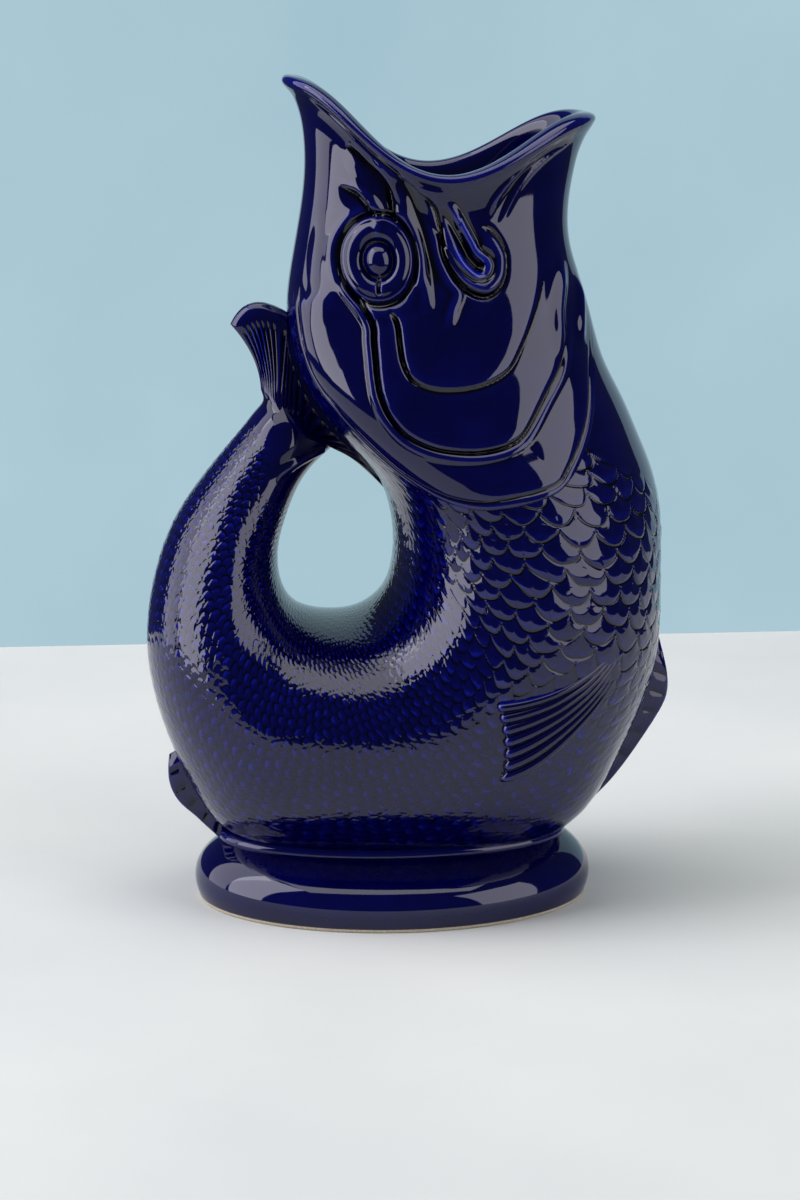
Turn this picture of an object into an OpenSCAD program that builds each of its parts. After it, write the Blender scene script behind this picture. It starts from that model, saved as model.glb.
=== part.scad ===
// Fish-shaped gurgle jug in glazed earthenware, standing on an oval foot.
// Millimetres, +Z up. The origin is the middle of the foot's standing face.
// The back and the tail loop lie towards -X, the belly and the pouring lip towards +X.
// The fish's left side faces +Y, its right side -Y.

/* [Jug] */
// Height that the side outline is drawn to, up to the peak of the upper lip
jug_h = 277; // [240:1:320]
// Length from the back of the tail loop to the front of the belly
jug_l = 174; // [150:1:200]
// Greatest width across the belly
jug_w = 114; // [98:1:130]
// Thickness of the fired clay wall
wall = 4.5; // [3.5:0.1:5.5]

/* [Lips] */
// Height of the rolled lip above the end of the wall
lip_h = 5.5; // [4:0.1:8]
// How far the lip rolls outward past the wall
lip_flare = 2.6; // [1:0.1:4]

/* [Foot] */
// Greatest length of the oval foot
foot_l = 136; // [128:1:144]
// Greatest width of the oval foot
foot_w = 99; // [92:1:108]
// Height of the foot, where the body stands on it
foot_h = 21.5; // [18:0.5:24]
// Thickness of the hollow foot's wall
foot_wall = 6.2; // [5:0.1:7.5]
// Height of the unglazed ring that the jug stands on
ring_h = 1.2; // [0.8:0.1:2]

/* [Tail fin] */
// Thickness of the tail fin at its pleated edge
tail_fin_t = 9; // [7:0.5:12]
// Depth of the tail fin's pleats
tail_pleat = 0.7; // [0.3:0.1:1.2]
// Number of pleats over the whole tail fin
tail_pleats = 9; // [5:1:11]

/* [Belly and anal fins] */
// Thickness of the belly fin where it leaves the body
belly_fin_t = 8; // [6:0.5:10]
// Thickness of the anal fin where it leaves the body
anal_fin_t = 7; // [5:0.5:9]
// Depth of the ribs on the belly and anal fins
fin_rib = 0.6; // [0.2:0.1:1]
// Number of ribs on the belly fin
belly_ribs = 9; // [5:1:11]
// Number of ribs on the anal fin
anal_ribs = 3; // [2:1:5]

/* [Side fins] */
// Height of the side fin above the body at its free edge
side_fin_rise = 2.6; // [1.5:0.1:4]
// Depth of the furrows between the side fin's rays
side_fin_furrow = 1; // [0.4:0.1:1.4]
// Number of rays on each side fin
side_fin_rays = 7; // [5:1:8]

/* [Face] */
// Width of the eye
eye_w = 24; // [18:0.5:27]
// Height of the eye
eye_h = 28; // [22:0.5:30]
// Height of the eyeball above the cheek
eye_rise = 2.6; // [1.5:0.1:4]
// Height of the gill cover's free edge above the body
gill_rise = 2; // [1:0.1:3]
// Height of the jaw lobe at the corner of the mouth
jaw_rise = 2.4; // [1.2:0.1:3.5]
// Height of the fold that runs round the cheek
fold_rise = 1.4; // [0.6:0.1:2.4]

/* [Hidden] */
// clearance between a moulded-on piece and the wall that carries it
seat_gap = 0.1;
// thickness at the edge of a moulded-on piece
feather = 0.5;
// points round a section, and steps from one station to the next
around = 32;
per_station = 2;
foot_points = 40;
// small steps, as a share of a station and as an angle, for the slope of the skin
station_step_share = 0.02;
angle_step = 0.5;

// Stations from the mouth, down the body, round under the finger hole and up the tail.
// Each row: back x and z, belly x and z, width, droop of the sides, shape of the droop,
// and how much narrower the belly side is than the back.
station_shares = [
    [-0.186, 0.982, 0.362, 0.937, 0.579, 0.088, 4.0, 0],
    [-0.169, 0.947, 0.348, 0.901, 0.561, 0.087, 3.8, 0],
    [-0.164, 0.903, 0.332, 0.852, 0.579, 0.081, 3.4, 0],
    [-0.170, 0.855, 0.333, 0.803, 0.623, 0.070, 3.0, 0],
    [-0.190, 0.789, 0.362, 0.756, 0.684, 0.058, 2.6, 0],
    [-0.205, 0.732, 0.385, 0.702, 0.754, 0.047, 2.3, 0],
    [-0.196, 0.679, 0.403, 0.661, 0.816, 0.036, 2.0, 0.02],
    [-0.166, 0.626, 0.443, 0.618, 0.868, 0.025, 2.0, 0.03],
    [-0.111, 0.577, 0.473, 0.572, 0.912, 0.018, 2.0, 0.04],
    [-0.052, 0.543, 0.504, 0.529, 0.947, 0.011, 2.0, 0.05],
    [-0.015, 0.511, 0.521, 0.475, 0.974, 0.007, 2.0, 0.06],
    [0.001, 0.466, 0.520, 0.409, 0.991, 0.004, 2.0, 0.08],
    [0.004, 0.429, 0.523, 0.335, 1.000, 0, 2.0, 0.10],
    [-0.008, 0.385, 0.510, 0.264, 1.000, 0, 2.0, 0.12],
    [-0.047, 0.360, 0.442, 0.175, 0.991, 0, 2.0, 0.15],
    [-0.087, 0.352, 0.364, 0.065, 0.974, 0, 2.0, 0.18],
    [-0.128, 0.352, 0.068, 0.036, 0.939, 0, 2.0, 0.20],
    [-0.167, 0.358, -0.308, 0.059, 0.877, 0, 2.0, 0.18],
    [-0.195, 0.369, -0.386, 0.126, 0.789, 0, 2.0, 0.14],
    [-0.214, 0.389, -0.457, 0.228, 0.693, 0, 2.0, 0.08],
    [-0.223, 0.414, -0.486, 0.326, 0.605, 0, 2.0, 0.03],
    [-0.222, 0.444, -0.459, 0.416, 0.518, 0, 2.0, 0],
    [-0.208, 0.473, -0.419, 0.480, 0.430, 0, 2.0, 0],
    [-0.186, 0.511, -0.355, 0.533, 0.351, 0, 2.0, 0],
    [-0.158, 0.537, -0.306, 0.570, 0.281, 0, 2.0, 0],
    [-0.119, 0.558, -0.254, 0.608, 0.228, 0, 2.0, 0]];
tail_tip = len(station_shares) - 1;
// shares of the way from the mouth to the tail's tip where the sections of the shell meet
seam_shares = [0, 0.2, 0.44, 0.64, 0.72, 0.84, 1];

// Section of the rolled lip: shares of the flare, of the wall and of the lip's height
lip_shares = [[0, 1, 0], [0.8, 1, 0.1], [1, 1, 0.45], [0.75, 1, 0.85],
    [0.1, 0.9, 1], [0, 0.4, 0.9], [0, 0.05, 0.55], [0, 0, 0]];
// half the angle that the lower lip takes, from the middle of the belly side
lip_corner = 81;
upper_lip_steps = 24;
lower_lip_steps = 20;
// share of a station to look back for the lip's upward direction
lip_look_share = 0.25;

// Foot section: shares of half the length, half the width and the height
foot_outer_shares = [[0.978, 0.970, 0], [0.994, 0.992, 0.15], [1, 1, 0.34], [0.984, 0.962, 0.56],
    [0.940, 0.860, 0.76], [0.894, 0.742, 0.89], [0.866, 0.660, 0.96], [0.846, 0.600, 1]];
foot_inner_shares = [[1, 1, 1], [0.99, 0.98, 0.72], [1, 1, 0.34], [1, 1, 0]];

// Rays of the tail fin, from its lowest pleat on the back to its upper tip:
// the middle of each ray as shares of the length and the height
tail_fin_mid_shares = [[-0.078, 0.550], [-0.124, 0.570], [-0.182, 0.600], [-0.216, 0.655], [-0.240, 0.660]];
// the free upper edge: a point that draws the curve up, then the tip
tail_fin_crest_shares = [-0.275, 0.752];
tail_fin_tip_shares = [-0.308, 0.708];
// shares of the way to the tail's tip where the lowest ray and the top of the attached edge end
tail_fin_low_share = 0.4;
tail_fin_high_share = 0.208;
// share of the rays that lie on the back, and share that the lower lobe takes
attached_share = 0.75;
lower_lobe_share = 0.4;
tail_fin_rows = 7;
tail_fin_points = 56;
// how full the fin's section is: 1 for an oval, 0 for a slab
tail_fin_round_share = 0.4;

// Free edge of each fin: station of the root, then x and z of the edge
belly_fin_shares = [[12.3, 0.523, 0.320], [12.5, 0.535, 0.292], [12.8, 0.546, 0.265], [13.1, 0.544, 0.241],
    [13.4, 0.527, 0.220], [13.7, 0.499, 0.192], [14.0, 0.468, 0.163], [14.3, 0.436, 0.136],
    [14.6, 0.395, 0.110], [14.85, 0.350, 0.090]];
anal_fin_shares = [[18.55, -0.437, 0.180], [18.4, -0.441, 0.160], [18.2, -0.437, 0.138],
    [18.0, -0.418, 0.117], [17.8, -0.388, 0.099], [17.62, -0.358, 0.086]];
// thickness of a fin's free edge as a share of its root, and of its ends
fin_edge_share = 0.45;
fin_end_share = 0.3;
belly_fin_steps = 36;
anal_fin_steps = 14;

// Side fin: [station, angle] of its upper and its lower edge, from the free edge to the root
side_fin_top_shares = [[13.9, 260], [13.6, 269], [13.25, 279], [12.85, 289], [12.4, 299], [11.9, 309]];
side_fin_low_shares = [[15.0, 283], [14.5, 289], [14.0, 295], [13.4, 301], [12.7, 307], [12.0, 313]];
side_fin_steps = 8;

// Gill cover: [station, angle] of its inner edge on the cheek and of its free edge on the body
gill_inner_shares = [[4.3, 224], [4.7, 239], [5.6, 239], [6.6, 236], [7.25, 240], [7.55, 251], [7.5, 263],
    [7.3, 275], [7.0, 287], [6.6, 299], [5.9, 311], [5.0, 325], [4.2, 336]];
gill_free_shares = [[4.9, 199], [6.2, 202], [7.0, 209], [7.9, 218], [8.8, 227], [9.35, 239], [9.45, 253],
    [9.25, 266], [8.9, 278], [8.4, 291], [7.5, 308], [6.3, 325], [5.2, 342]];
gill_rise_shares = [0, 0.7, 0.7, 0.25, 0.45, 0.75, 1];
gill_steps = 22;

// Fold round the cheek: [station, angle] of its two edges
fold_inner_shares = [[4.15, 257], [4.8, 258], [5.15, 262], [5.1, 274], [4.85, 287], [4.4, 299], [3.8, 311], [3.1, 325]];
fold_outer_shares = [[4.3, 250], [5.2, 251], [5.75, 258], [5.7, 272], [5.45, 288], [5.0, 302], [4.3, 316], [3.4, 332]];
fold_rise_shares = [0, 1, 1, 0];
fold_steps = 20;

// Jaw lobe at the corner of the mouth: [station, angle] of its two edges
jaw_back_shares = [[0.25, 229], [0.35, 243], [0.95, 258], [1.8, 270], [2.85, 277], [3.4, 286]];
jaw_front_shares = [[0.2, 240], [0.25, 264], [0.8, 281], [1.7, 295], [2.8, 302], [3.4, 291]];
jaw_rise_shares = [0, 0.9, 0.6, 0.9, 0];
jaw_steps = 12;
// steps over which a moulded-on plate tapers at its two ends
plate_taper = 2;

// Eye: middle as shares of the length and height, a [station, angle] near it to search from,
// then rings as shares of the radius and of the rise
eye_place_shares = [-0.043, 0.797];
eye_start_shares = [2.88, 244];
eye_ring_shares = [[0.12, 1], [0.34, 0.85], [0.44, 0.3], [0.58, 0.3], [0.7, 0.75], [0.86, 0.6], [1, 0]];
eye_points = 18;

function mix(a, b, t) = a + (b - a) * t;
function unit(v) = v / norm(v);

// A table read as a smooth curve that keeps its two end rows
function knot(rows, i) = i < 0 ? 2 * rows[0] - rows[1]
    : i >= len(rows) ? 2 * rows[len(rows) - 1] - rows[len(rows) - 2]
    : rows[i];
function smooth(rows, s) = let (i = max(0, min(floor(s), len(rows) - 2)), t = s - i)
    (knot(rows, i - 1) * pow(1 - t, 3)
    + knot(rows, i) * (3 * pow(t, 3) - 6 * pow(t, 2) + 4)
    + knot(rows, i + 1) * (1 + 3 * t + 3 * pow(t, 2) - 3 * pow(t, 3))
    + knot(rows, i + 2) * pow(t, 3)) / 6;
function along(rows, t) = smooth(rows, t * (len(rows) - 1));

// A point of the jug's surface at a station and an angle round it, from 0 on the belly to 180 on
// the back and 270 on the right side, lifted off the surface and kept above a level floor
function skin(u, a, lift = 0, level = foot_h) = let (
    row = smooth(station_shares, u),
    back = [row[0] * jug_l, row[1] * jug_h],
    belly = [row[2] * jug_l, row[3] * jug_h],
    dir = unit(belly - back),
    half = norm(belly - back) / 2 + lift,
    sag = row[5] * jug_h * pow(abs(sin(a)), row[6]),
    p = (back + belly) / 2 + dir * half * cos(a) + [dir[1], -dir[0]] * sag)
    [p[0], (row[4] * jug_w / 2 + lift) * sin(a) * (1 - row[7] * cos(a)), max(p[1], level)];

function ring(u, lift = 0, level = foot_h) =
    [for (j = [0:around - 1]) skin(u, j * 360 / around, lift, level)];
function stations(from, to) = [for (k = [0:(to - from) * per_station]) from + k / per_station];
function backward(list) = [for (k = [len(list) - 1:-1:0]) list[k]];
function inner_ring(u) = ring(u, -wall, foot_h + wall);

// One solid through rows of points; an open run is closed by a strip across each end row
module loft(rows, closed = false) {
    n = len(rows[0]);
    m = len(rows);
    points = [for (row = rows) each row];
    sides = [for (i = [0:m - (closed ? 1 : 2)], j = [0:n - 1])
        let (a = i * n + j, b = i * n + (j + 1) % n,
            c = (i + 1) % m * n + (j + 1) % n, d = (i + 1) % m * n + j)
        each [[a, b, c], [a, c, d]]];
    first = [for (k = [0:n / 2 - 2])
        each [[k + 1, k, n - 1 - k], [k + 1, n - 1 - k, n - 2 - k]]];
    end = (m - 1) * n;
    last = [for (f = first) [f[0] + end, f[2] + end, f[1] + end]];
    faces = closed ? sides : concat(sides, first, last);
    turns = [for (f = faces) cross(points[f[0]], points[f[1]]) * points[f[2]]];
    outward = turns * [for (f = faces) 1] < 0;
    polyhedron(points, outward ? faces : [for (f = faces) [f[0], f[2], f[1]]]);
}

// A low plate moulded on the skin between two edges, with a cross profile and tapered ends
module plate(edge_one, edge_two, rise_shares, rise, steps) {
    m = len(rise_shares) - 1;
    loft([for (i = [0:steps]) let (
        one = along(edge_one, i / steps),
        two = along(edge_two, i / steps),
        end_share = min(1, i / plate_taper, (steps - i) / plate_taper),
        spots = [for (j = [0:m]) mix(one, two, j / m)])
        concat([for (p = spots) skin(p[0], p[1], seat_gap)],
            backward([for (j = [0:m]) skin(spots[j][0], spots[j][1],
                seat_gap + feather + rise * rise_shares[j] * end_share)]))]);
}

// Hollow foot, cast in one with the body: a rounded plinth, recessed underneath
module foot() {
    color("navy")
    loft(concat(
        [for (s = foot_outer_shares) oval(s[0] * foot_l / 2, s[1] * foot_w / 2, s[2])],
        [for (s = foot_inner_shares) let (o = outer_at(s[2]))
            oval(o[0] * foot_l / 2 - foot_wall * s[0], o[1] * foot_w / 2 - foot_wall * s[1], s[2])]),
        closed = true);
}

// half sizes of the foot's outside at a share of its height
function outer_at(h) = let (
    k = max([for (i = [0:len(foot_outer_shares) - 2]) foot_outer_shares[i][2] <= h ? i : 0]),
    low = foot_outer_shares[k], high = foot_outer_shares[k + 1])
    mix(low, high, (h - low[2]) / (high[2] - low[2]));
function oval(half_x, half_y, h) = [for (j = [0:foot_points - 1]) let (a = j * 360 / foot_points)
    [half_x * cos(a), half_y * sin(a), mix(ring_h, foot_h, h)]];

// Bare clay ring under the foot, where the glaze is wiped off
module foot_ring() {
    half_l = foot_outer_shares[0][0] * foot_l / 2;
    half_w = foot_outer_shares[0][1] * foot_w / 2;
    color("wheat")
    linear_extrude(height = ring_h)
    difference() {
        footprint(half_l, half_w);
        footprint(half_l - foot_wall, half_w - foot_wall);
    }
}

module footprint(half_x, half_y) {
    polygon([for (p = oval(half_x, half_y, 0)) [p[0], p[1]]]);
}

// One section of the shell, open at both ends, from one seam to the next
function seam(i) = seam_shares[i] * tail_tip;
module section(i) {
    run = stations(seam(i), seam(i + 1));
    color("navy")
    loft(concat([for (u = run) ring(u)], [for (u = backward(run)) inner_ring(u)]), closed = true);
}

// Open-mouthed head: the pouring throat
module head_shell() {
    section(0);
}

// Neck and shoulder, above the finger hole
module shoulder_shell() {
    section(1);
}

// Belly in front of the finger hole, flat where it stands on the foot
module belly_shell() {
    section(2);
}

// Bottom of the jug under the finger hole, where the belly opens into the tail
module base_shell() {
    section(3);
}

// Root of the hollow tail, behind the finger hole
module tail_root_shell() {
    section(4);
}

// Upper part of the hollow tail, blind at its end
module tail_shell() {
    run = stations(seam(5), tail_tip);
    end_drop = wall / norm(skin(tail_tip, 90) - skin(tail_tip - 1, 90));
    color("navy")
    loft(concat([for (u = backward(run)) ring(u)],
        [for (u = run) if (u <= tail_tip - 1) inner_ring(u)],
        [inner_ring(tail_tip - end_drop)]));
}

function lip_row(a) = let (
    outside = skin(0, a),
    inside = skin(0, a, -wall, foot_h + wall),
    out = unit(outside - inside),
    up = unit(outside - skin(lip_look_share, a)))
    [for (s = lip_shares) inside + out * (lip_flare * s[0] + norm(outside - inside) * s[1]) + up * lip_h * s[2]];

// Rolled lip of the upper jaw, rising to the peak at the back
module upper_lip() {
    color("mediumblue")
    loft([for (i = [0:upper_lip_steps]) lip_row(mix(lip_corner, 360 - lip_corner, i / upper_lip_steps))]);
}

// Rolled lip of the lower jaw, the pouring lip
module lower_lip() {
    color("royalblue")
    loft([for (i = [0:lower_lip_steps]) lip_row(mix(-lip_corner, lip_corner, i / lower_lip_steps))]);
}

// End of a tail fin ray: on the back of the body, or on the free upper edge
function ray_end(s, y) = s <= attached_share
    ? let (u = tail_tip * mix(tail_fin_low_share, tail_fin_high_share, s / attached_share),
        half = smooth(station_shares, u)[4] * jug_w / 2)
        skin(u, 180 - asin(y / half), seat_gap)
    : let (t = (s - attached_share) / (1 - attached_share),
        start = skin(tail_tip * tail_fin_high_share, 180, seat_gap),
        crest = [tail_fin_crest_shares[0] * jug_l, y, tail_fin_crest_shares[1] * jug_h],
        tip = [tail_fin_tip_shares[0] * jug_l, y, tail_fin_tip_shares[1] * jug_h])
        bend([start[0], y, start[2]], crest, tip, t);
function bend(a, b, c, t) = mix(mix(a, b, t), mix(b, c, t), t);
function ray_mid(s) = along(tail_fin_mid_shares, s);

// A point of the tail fin: share of the way out, and angle round the tail that carries it
function tail_fin_point(t, a) = let (
    s = (1 + cos(a)) / 2,
    root = skin(tail_tip, a, 0),
    root_y = root[1] * pow(1 - t, 2),
    slab = sign(sin(a)) * pow(abs(sin(a)), tail_fin_round_share) * tail_fin_t / 2,
    pleat = sign(sin(a)) * tail_pleat * (cos(s * 360 * tail_pleats) - 1) / 2 * min(1, 2 * t) * abs(sin(a)),
    y = root_y + (slab + pleat) * (1 - pow(1 - t, 2)),
    mid = ray_mid(s),
    end = ray_end(s, y),
    p = bend(root, [mid[0] * jug_l, 0, mid[1] * jug_h], end, t))
    [p[0], y, p[2]];

// The lobes meet in a flat face across the fin at the same ray
lobe_angle = acos(2 * lower_lobe_share - 1);
module tail_lobe(from, to) {
    n = tail_fin_points / 2;
    loft([for (r = [0:tail_fin_rows]) [for (j = [0:n - 1])
        tail_fin_point(r / tail_fin_rows, mix(from, to, j / (n - 1)))]]);
}

// Upper lobe of the tail fin, free of the head at its tip
module tail_fin_upper() {
    color("mediumblue") tail_lobe(-lobe_angle, lobe_angle);
}

// Lower lobe of the tail fin, laid along the back above the finger hole
module tail_fin_lower() {
    color("royalblue") tail_lobe(lobe_angle, 360 - lobe_angle);
}

// A thin ribbed fin on the middle line, standing out from the belly side
module keel_fin(edge_shares, thick, ribs, steps) {
    loft([for (i = [0:steps]) let (
        row = along(edge_shares, i / steps),
        half = smooth(station_shares, row[0])[4] * jug_w / 2,
        end_share = min(1, 2 * sin(180 * i / steps) + fin_end_share),
        rib = fin_rib * (1 - cos(360 * ribs * i / steps)) / 2,
        root_y = thick / 2 * end_share,
        edge_y = thick / 2 * fin_edge_share * end_share - rib * fin_edge_share,
        mid_y = (root_y + edge_y) / 2 - rib * fin_edge_share,
        turn = asin(root_y / half),
        root = skin(row[0], turn, seat_gap),
        edge = [row[1] * jug_l, edge_y, row[2] * jug_h],
        mid = [(root[0] + edge[0]) / 2, mid_y, (root[2] + edge[2]) / 2])
        [root, mid, edge, flip(edge), flip(mid), flip(root)]]);
}
function flip(p) = [p[0], -p[1], p[2]];

// Long ribbed fin down the front of the belly
module belly_fin() {
    color("mediumblue") keel_fin(belly_fin_shares, belly_fin_t, belly_ribs, belly_fin_steps);
}

// Short fin low on the tail side
module anal_fin() {
    color("mediumblue") keel_fin(anal_fin_shares, anal_fin_t, anal_ribs, anal_fin_steps);
}

// Side fin: rays fanned back from the root, highest at the free edge
module side_fin() {
    m = 2 * side_fin_rays;
    color("royalblue")
    loft([for (i = [0:side_fin_steps]) let (
        t = i / side_fin_steps,
        one = along(side_fin_top_shares, t),
        two = along(side_fin_low_shares, t),
        height = side_fin_rise * (1 - t),
        furrow = side_fin_furrow * (1 - t),
        spots = [for (j = [0:m]) mix(one, two, j / m)])
        concat([for (p = spots) skin(p[0], p[1], seat_gap)],
            backward([for (j = [0:m]) skin(spots[j][0], spots[j][1],
                seat_gap + feather + height - (j % 2 == 0 ? furrow : 0))]))]);
}

module pectoral_fin_right() {
    side_fin();
}

module pectoral_fin_left() {
    mirror([0, 1, 0]) side_fin();
}

// Bony cover behind the cheek: a bead along its inner edge and a free edge over the body
module gill_cover() {
    color("royalblue") plate(gill_inner_shares, gill_free_shares, gill_rise_shares, gill_rise, gill_steps);
}

module gill_cover_right() {
    gill_cover();
}

module gill_cover_left() {
    mirror([0, 1, 0]) gill_cover();
}

// Rounded fold from under the eye, round the cheek and up to the lower lip
module cheek_fold() {
    color("royalblue") plate(fold_inner_shares, fold_outer_shares, fold_rise_shares, fold_rise, fold_steps);
}

module cheek_fold_right() {
    cheek_fold();
}

module cheek_fold_left() {
    mirror([0, 1, 0]) cheek_fold();
}

// Lobe of the upper jaw, from under the lip down over the corner of the mouth
module jaw_lobe() {
    color("mediumblue") plate(jaw_back_shares, jaw_front_shares, jaw_rise_shares, jaw_rise, jaw_steps);
}

module jaw_lobe_right() {
    jaw_lobe();
}

module jaw_lobe_left() {
    mirror([0, 1, 0]) jaw_lobe();
}

// Station and angle of the skin at a place in the side view, by repeated small corrections
function spot(x, z, u, a, turns = 6) = turns == 0 ? [u, a] : let (
    p = skin(u, a),
    along_u = (skin(u + station_step_share, a) - p) / station_step_share,
    along_a = (skin(u, a + angle_step) - p) / angle_step,
    dx = x - p[0],
    dz = z - p[2],
    area = along_u[0] * along_a[2] - along_a[0] * along_u[2])
    spot(x, z, u + (dx * along_a[2] - along_a[0] * dz) / area,
        a + (along_u[0] * dz - dx * along_u[2]) / area, turns - 1);

// Round eye on the cheek: lid ring, groove and eyeball
module eye() {
    rings = [for (s = eye_ring_shares) [for (j = [0:eye_points - 1]) let (a = j * 360 / eye_points)
        spot(eye_place_shares[0] * jug_l + eye_w / 2 * s[0] * cos(a),
            eye_place_shares[1] * jug_h + eye_h / 2 * s[0] * sin(a), eye_start_shares[0], eye_start_shares[1])]];
    color("mediumblue")
    loft(concat(
        [for (k = [0:len(rings) - 1]) [for (p = rings[k]) skin(p[0], p[1], seat_gap)]],
        [for (k = [len(rings) - 1:-1:0]) [for (p = rings[k])
            skin(p[0], p[1], seat_gap + feather + eye_rise * eye_ring_shares[k][1])]]));
}

module eye_right() {
    eye();
}

module eye_left() {
    mirror([0, 1, 0]) eye();
}

foot();
foot_ring();
head_shell();
shoulder_shell();
belly_shell();
base_shell();
tail_root_shell();
tail_shell();
upper_lip();
lower_lip();
tail_fin_upper();
tail_fin_lower();
belly_fin();
anal_fin();
pectoral_fin_left();
pectoral_fin_right();
gill_cover_left();
gill_cover_right();
cheek_fold_left();
cheek_fold_right();
jaw_lobe_left();
jaw_lobe_right();
eye_left();
eye_right();
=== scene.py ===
import math

import bmesh
import bpy
import numpy as np
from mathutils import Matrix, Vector


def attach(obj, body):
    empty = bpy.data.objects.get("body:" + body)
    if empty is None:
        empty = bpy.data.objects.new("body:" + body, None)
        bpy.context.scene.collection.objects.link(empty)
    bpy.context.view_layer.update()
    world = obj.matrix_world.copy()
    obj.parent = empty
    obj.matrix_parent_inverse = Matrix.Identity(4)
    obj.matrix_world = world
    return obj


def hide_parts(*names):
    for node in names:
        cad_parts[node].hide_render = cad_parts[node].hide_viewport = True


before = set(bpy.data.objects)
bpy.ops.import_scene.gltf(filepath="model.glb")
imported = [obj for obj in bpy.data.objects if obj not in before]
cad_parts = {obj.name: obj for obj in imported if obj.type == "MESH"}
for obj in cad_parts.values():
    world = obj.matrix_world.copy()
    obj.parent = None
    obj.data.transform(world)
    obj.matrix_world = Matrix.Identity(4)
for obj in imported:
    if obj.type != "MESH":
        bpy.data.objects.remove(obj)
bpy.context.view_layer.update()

# ---- Camera ----
# It stands about a metre from the jug on the fish's right side, a little
# towards its tail, and looks down on it from just above the mouth.

CAMERA_DISTANCE = 1.0
CAMERA_HEIGHT = 0.32
CAMERA_TURN = math.radians(-5)
CAMERA_DIP = math.radians(12.3)
# Focal length, the column in which the foot's middle stands, and the frame, in pixels
FOCAL_PX = 3030
FOOT_PX = 392.2
IMAGE_W, IMAGE_H = 800, 1200

camera = bpy.data.objects.new("camera", bpy.data.cameras.new("camera"))
bpy.context.collection.objects.link(camera)
camera.data.sensor_width = 36
camera.data.lens = FOCAL_PX * camera.data.sensor_width / IMAGE_H
aside = math.atan((FOOT_PX - IMAGE_W / 2) / FOCAL_PX)
camera.location = (CAMERA_DISTANCE * math.sin(CAMERA_TURN), -CAMERA_DISTANCE * math.cos(CAMERA_TURN), CAMERA_HEIGHT)
camera.rotation_euler = (math.pi / 2 - CAMERA_DIP, 0, CAMERA_TURN + aside)
bpy.context.scene.camera = camera
bpy.context.scene.view_settings.view_transform = "Standard"

# ---- Belly ----
# The middle of the fish's body, from the gill covers down to the foot.
# Slip-cast earthenware: overlapping scales are moulded in its skin and show
# through a deep cobalt glaze, which pools in the grooves and thins on edges.

MM = 0.001
LENGTH, HEIGHT, WIDTH = 174 * MM, 277 * MM, 114 * MM
WALL = 4.5 * MM
FOOT_TOP = 21.5 * MM
# Radius of an edge on which the glaze is at its thinnest
THIN_RADIUS = 0.5 * MM

# Sections from the mouth, down the body, round under the finger hole and up the tail:
# back x and z, belly x and z, width, droop of the sides, its shape, narrowing to the belly
STATIONS = np.array([
    [-0.186, 0.982, 0.362, 0.937, 0.579, 0.088, 4, 0],
    [-0.169, 0.947, 0.348, 0.901, 0.561, 0.087, 3.8, 0],
    [-0.164, 0.903, 0.332, 0.852, 0.579, 0.081, 3.4, 0],
    [-0.170, 0.855, 0.333, 0.803, 0.623, 0.070, 3, 0],
    [-0.190, 0.789, 0.362, 0.756, 0.684, 0.058, 2.6, 0],
    [-0.205, 0.732, 0.385, 0.702, 0.754, 0.047, 2.3, 0],
    [-0.196, 0.679, 0.403, 0.661, 0.816, 0.036, 2, 0.02],
    [-0.166, 0.626, 0.443, 0.618, 0.868, 0.025, 2, 0.03],
    [-0.111, 0.577, 0.473, 0.572, 0.912, 0.018, 2, 0.04],
    [-0.052, 0.543, 0.504, 0.529, 0.947, 0.011, 2, 0.05],
    [-0.015, 0.511, 0.521, 0.475, 0.974, 0.007, 2, 0.06],
    [0.001, 0.466, 0.520, 0.409, 0.991, 0.004, 2, 0.08],
    [0.004, 0.429, 0.523, 0.335, 1.000, 0, 2, 0.10],
    [-0.008, 0.385, 0.510, 0.264, 1.000, 0, 2, 0.12],
    [-0.047, 0.360, 0.442, 0.175, 0.991, 0, 2, 0.15],
    [-0.087, 0.352, 0.364, 0.065, 0.974, 0, 2, 0.18],
    [-0.128, 0.352, 0.068, 0.036, 0.939, 0, 2, 0.20],
    [-0.167, 0.358, -0.308, 0.059, 0.877, 0, 2, 0.18],
    [-0.195, 0.369, -0.386, 0.126, 0.789, 0, 2, 0.14],
    [-0.214, 0.389, -0.457, 0.228, 0.693, 0, 2, 0.08],
    [-0.223, 0.414, -0.486, 0.326, 0.605, 0, 2, 0.03],
    [-0.222, 0.444, -0.459, 0.416, 0.518, 0, 2, 0],
    [-0.208, 0.473, -0.419, 0.480, 0.430, 0, 2, 0],
    [-0.186, 0.511, -0.355, 0.533, 0.351, 0, 2, 0],
    [-0.158, 0.537, -0.306, 0.570, 0.281, 0, 2, 0],
    [-0.119, 0.558, -0.254, 0.608, 0.228, 0, 2, 0],
]) * (LENGTH, HEIGHT, LENGTH, HEIGHT, WIDTH / 2, HEIGHT, 1, 1)
TAIL_TIP = len(STATIONS) - 1


def with_ends(rows):
    """Rows with one more at both ends, straight on from the last two."""
    rows = np.asarray(rows, float)
    return np.vstack([2 * rows[0] - rows[1], rows, 2 * rows[-1] - rows[-2]])


def smooth(rows, s):
    """Rows read as one smooth curve that keeps its two end rows."""
    padded = with_ends(rows)
    i = np.clip(np.floor(s).astype(int), 0, len(rows) - 2)
    t = (s - i)[..., None]
    return (padded[i] * (1 - t)**3 + padded[i + 1] * (3 * t**3 - 6 * t**2 + 4)
            + padded[i + 2] * (1 + 3 * t + 3 * t**2 - 3 * t**3) + padded[i + 3] * t**3) / 6


def evenly(rows, count):
    """The smooth curve of the rows, read at evenly spaced places from end to end."""
    return smooth(rows, np.linspace(0, len(rows) - 1, count))


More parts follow.
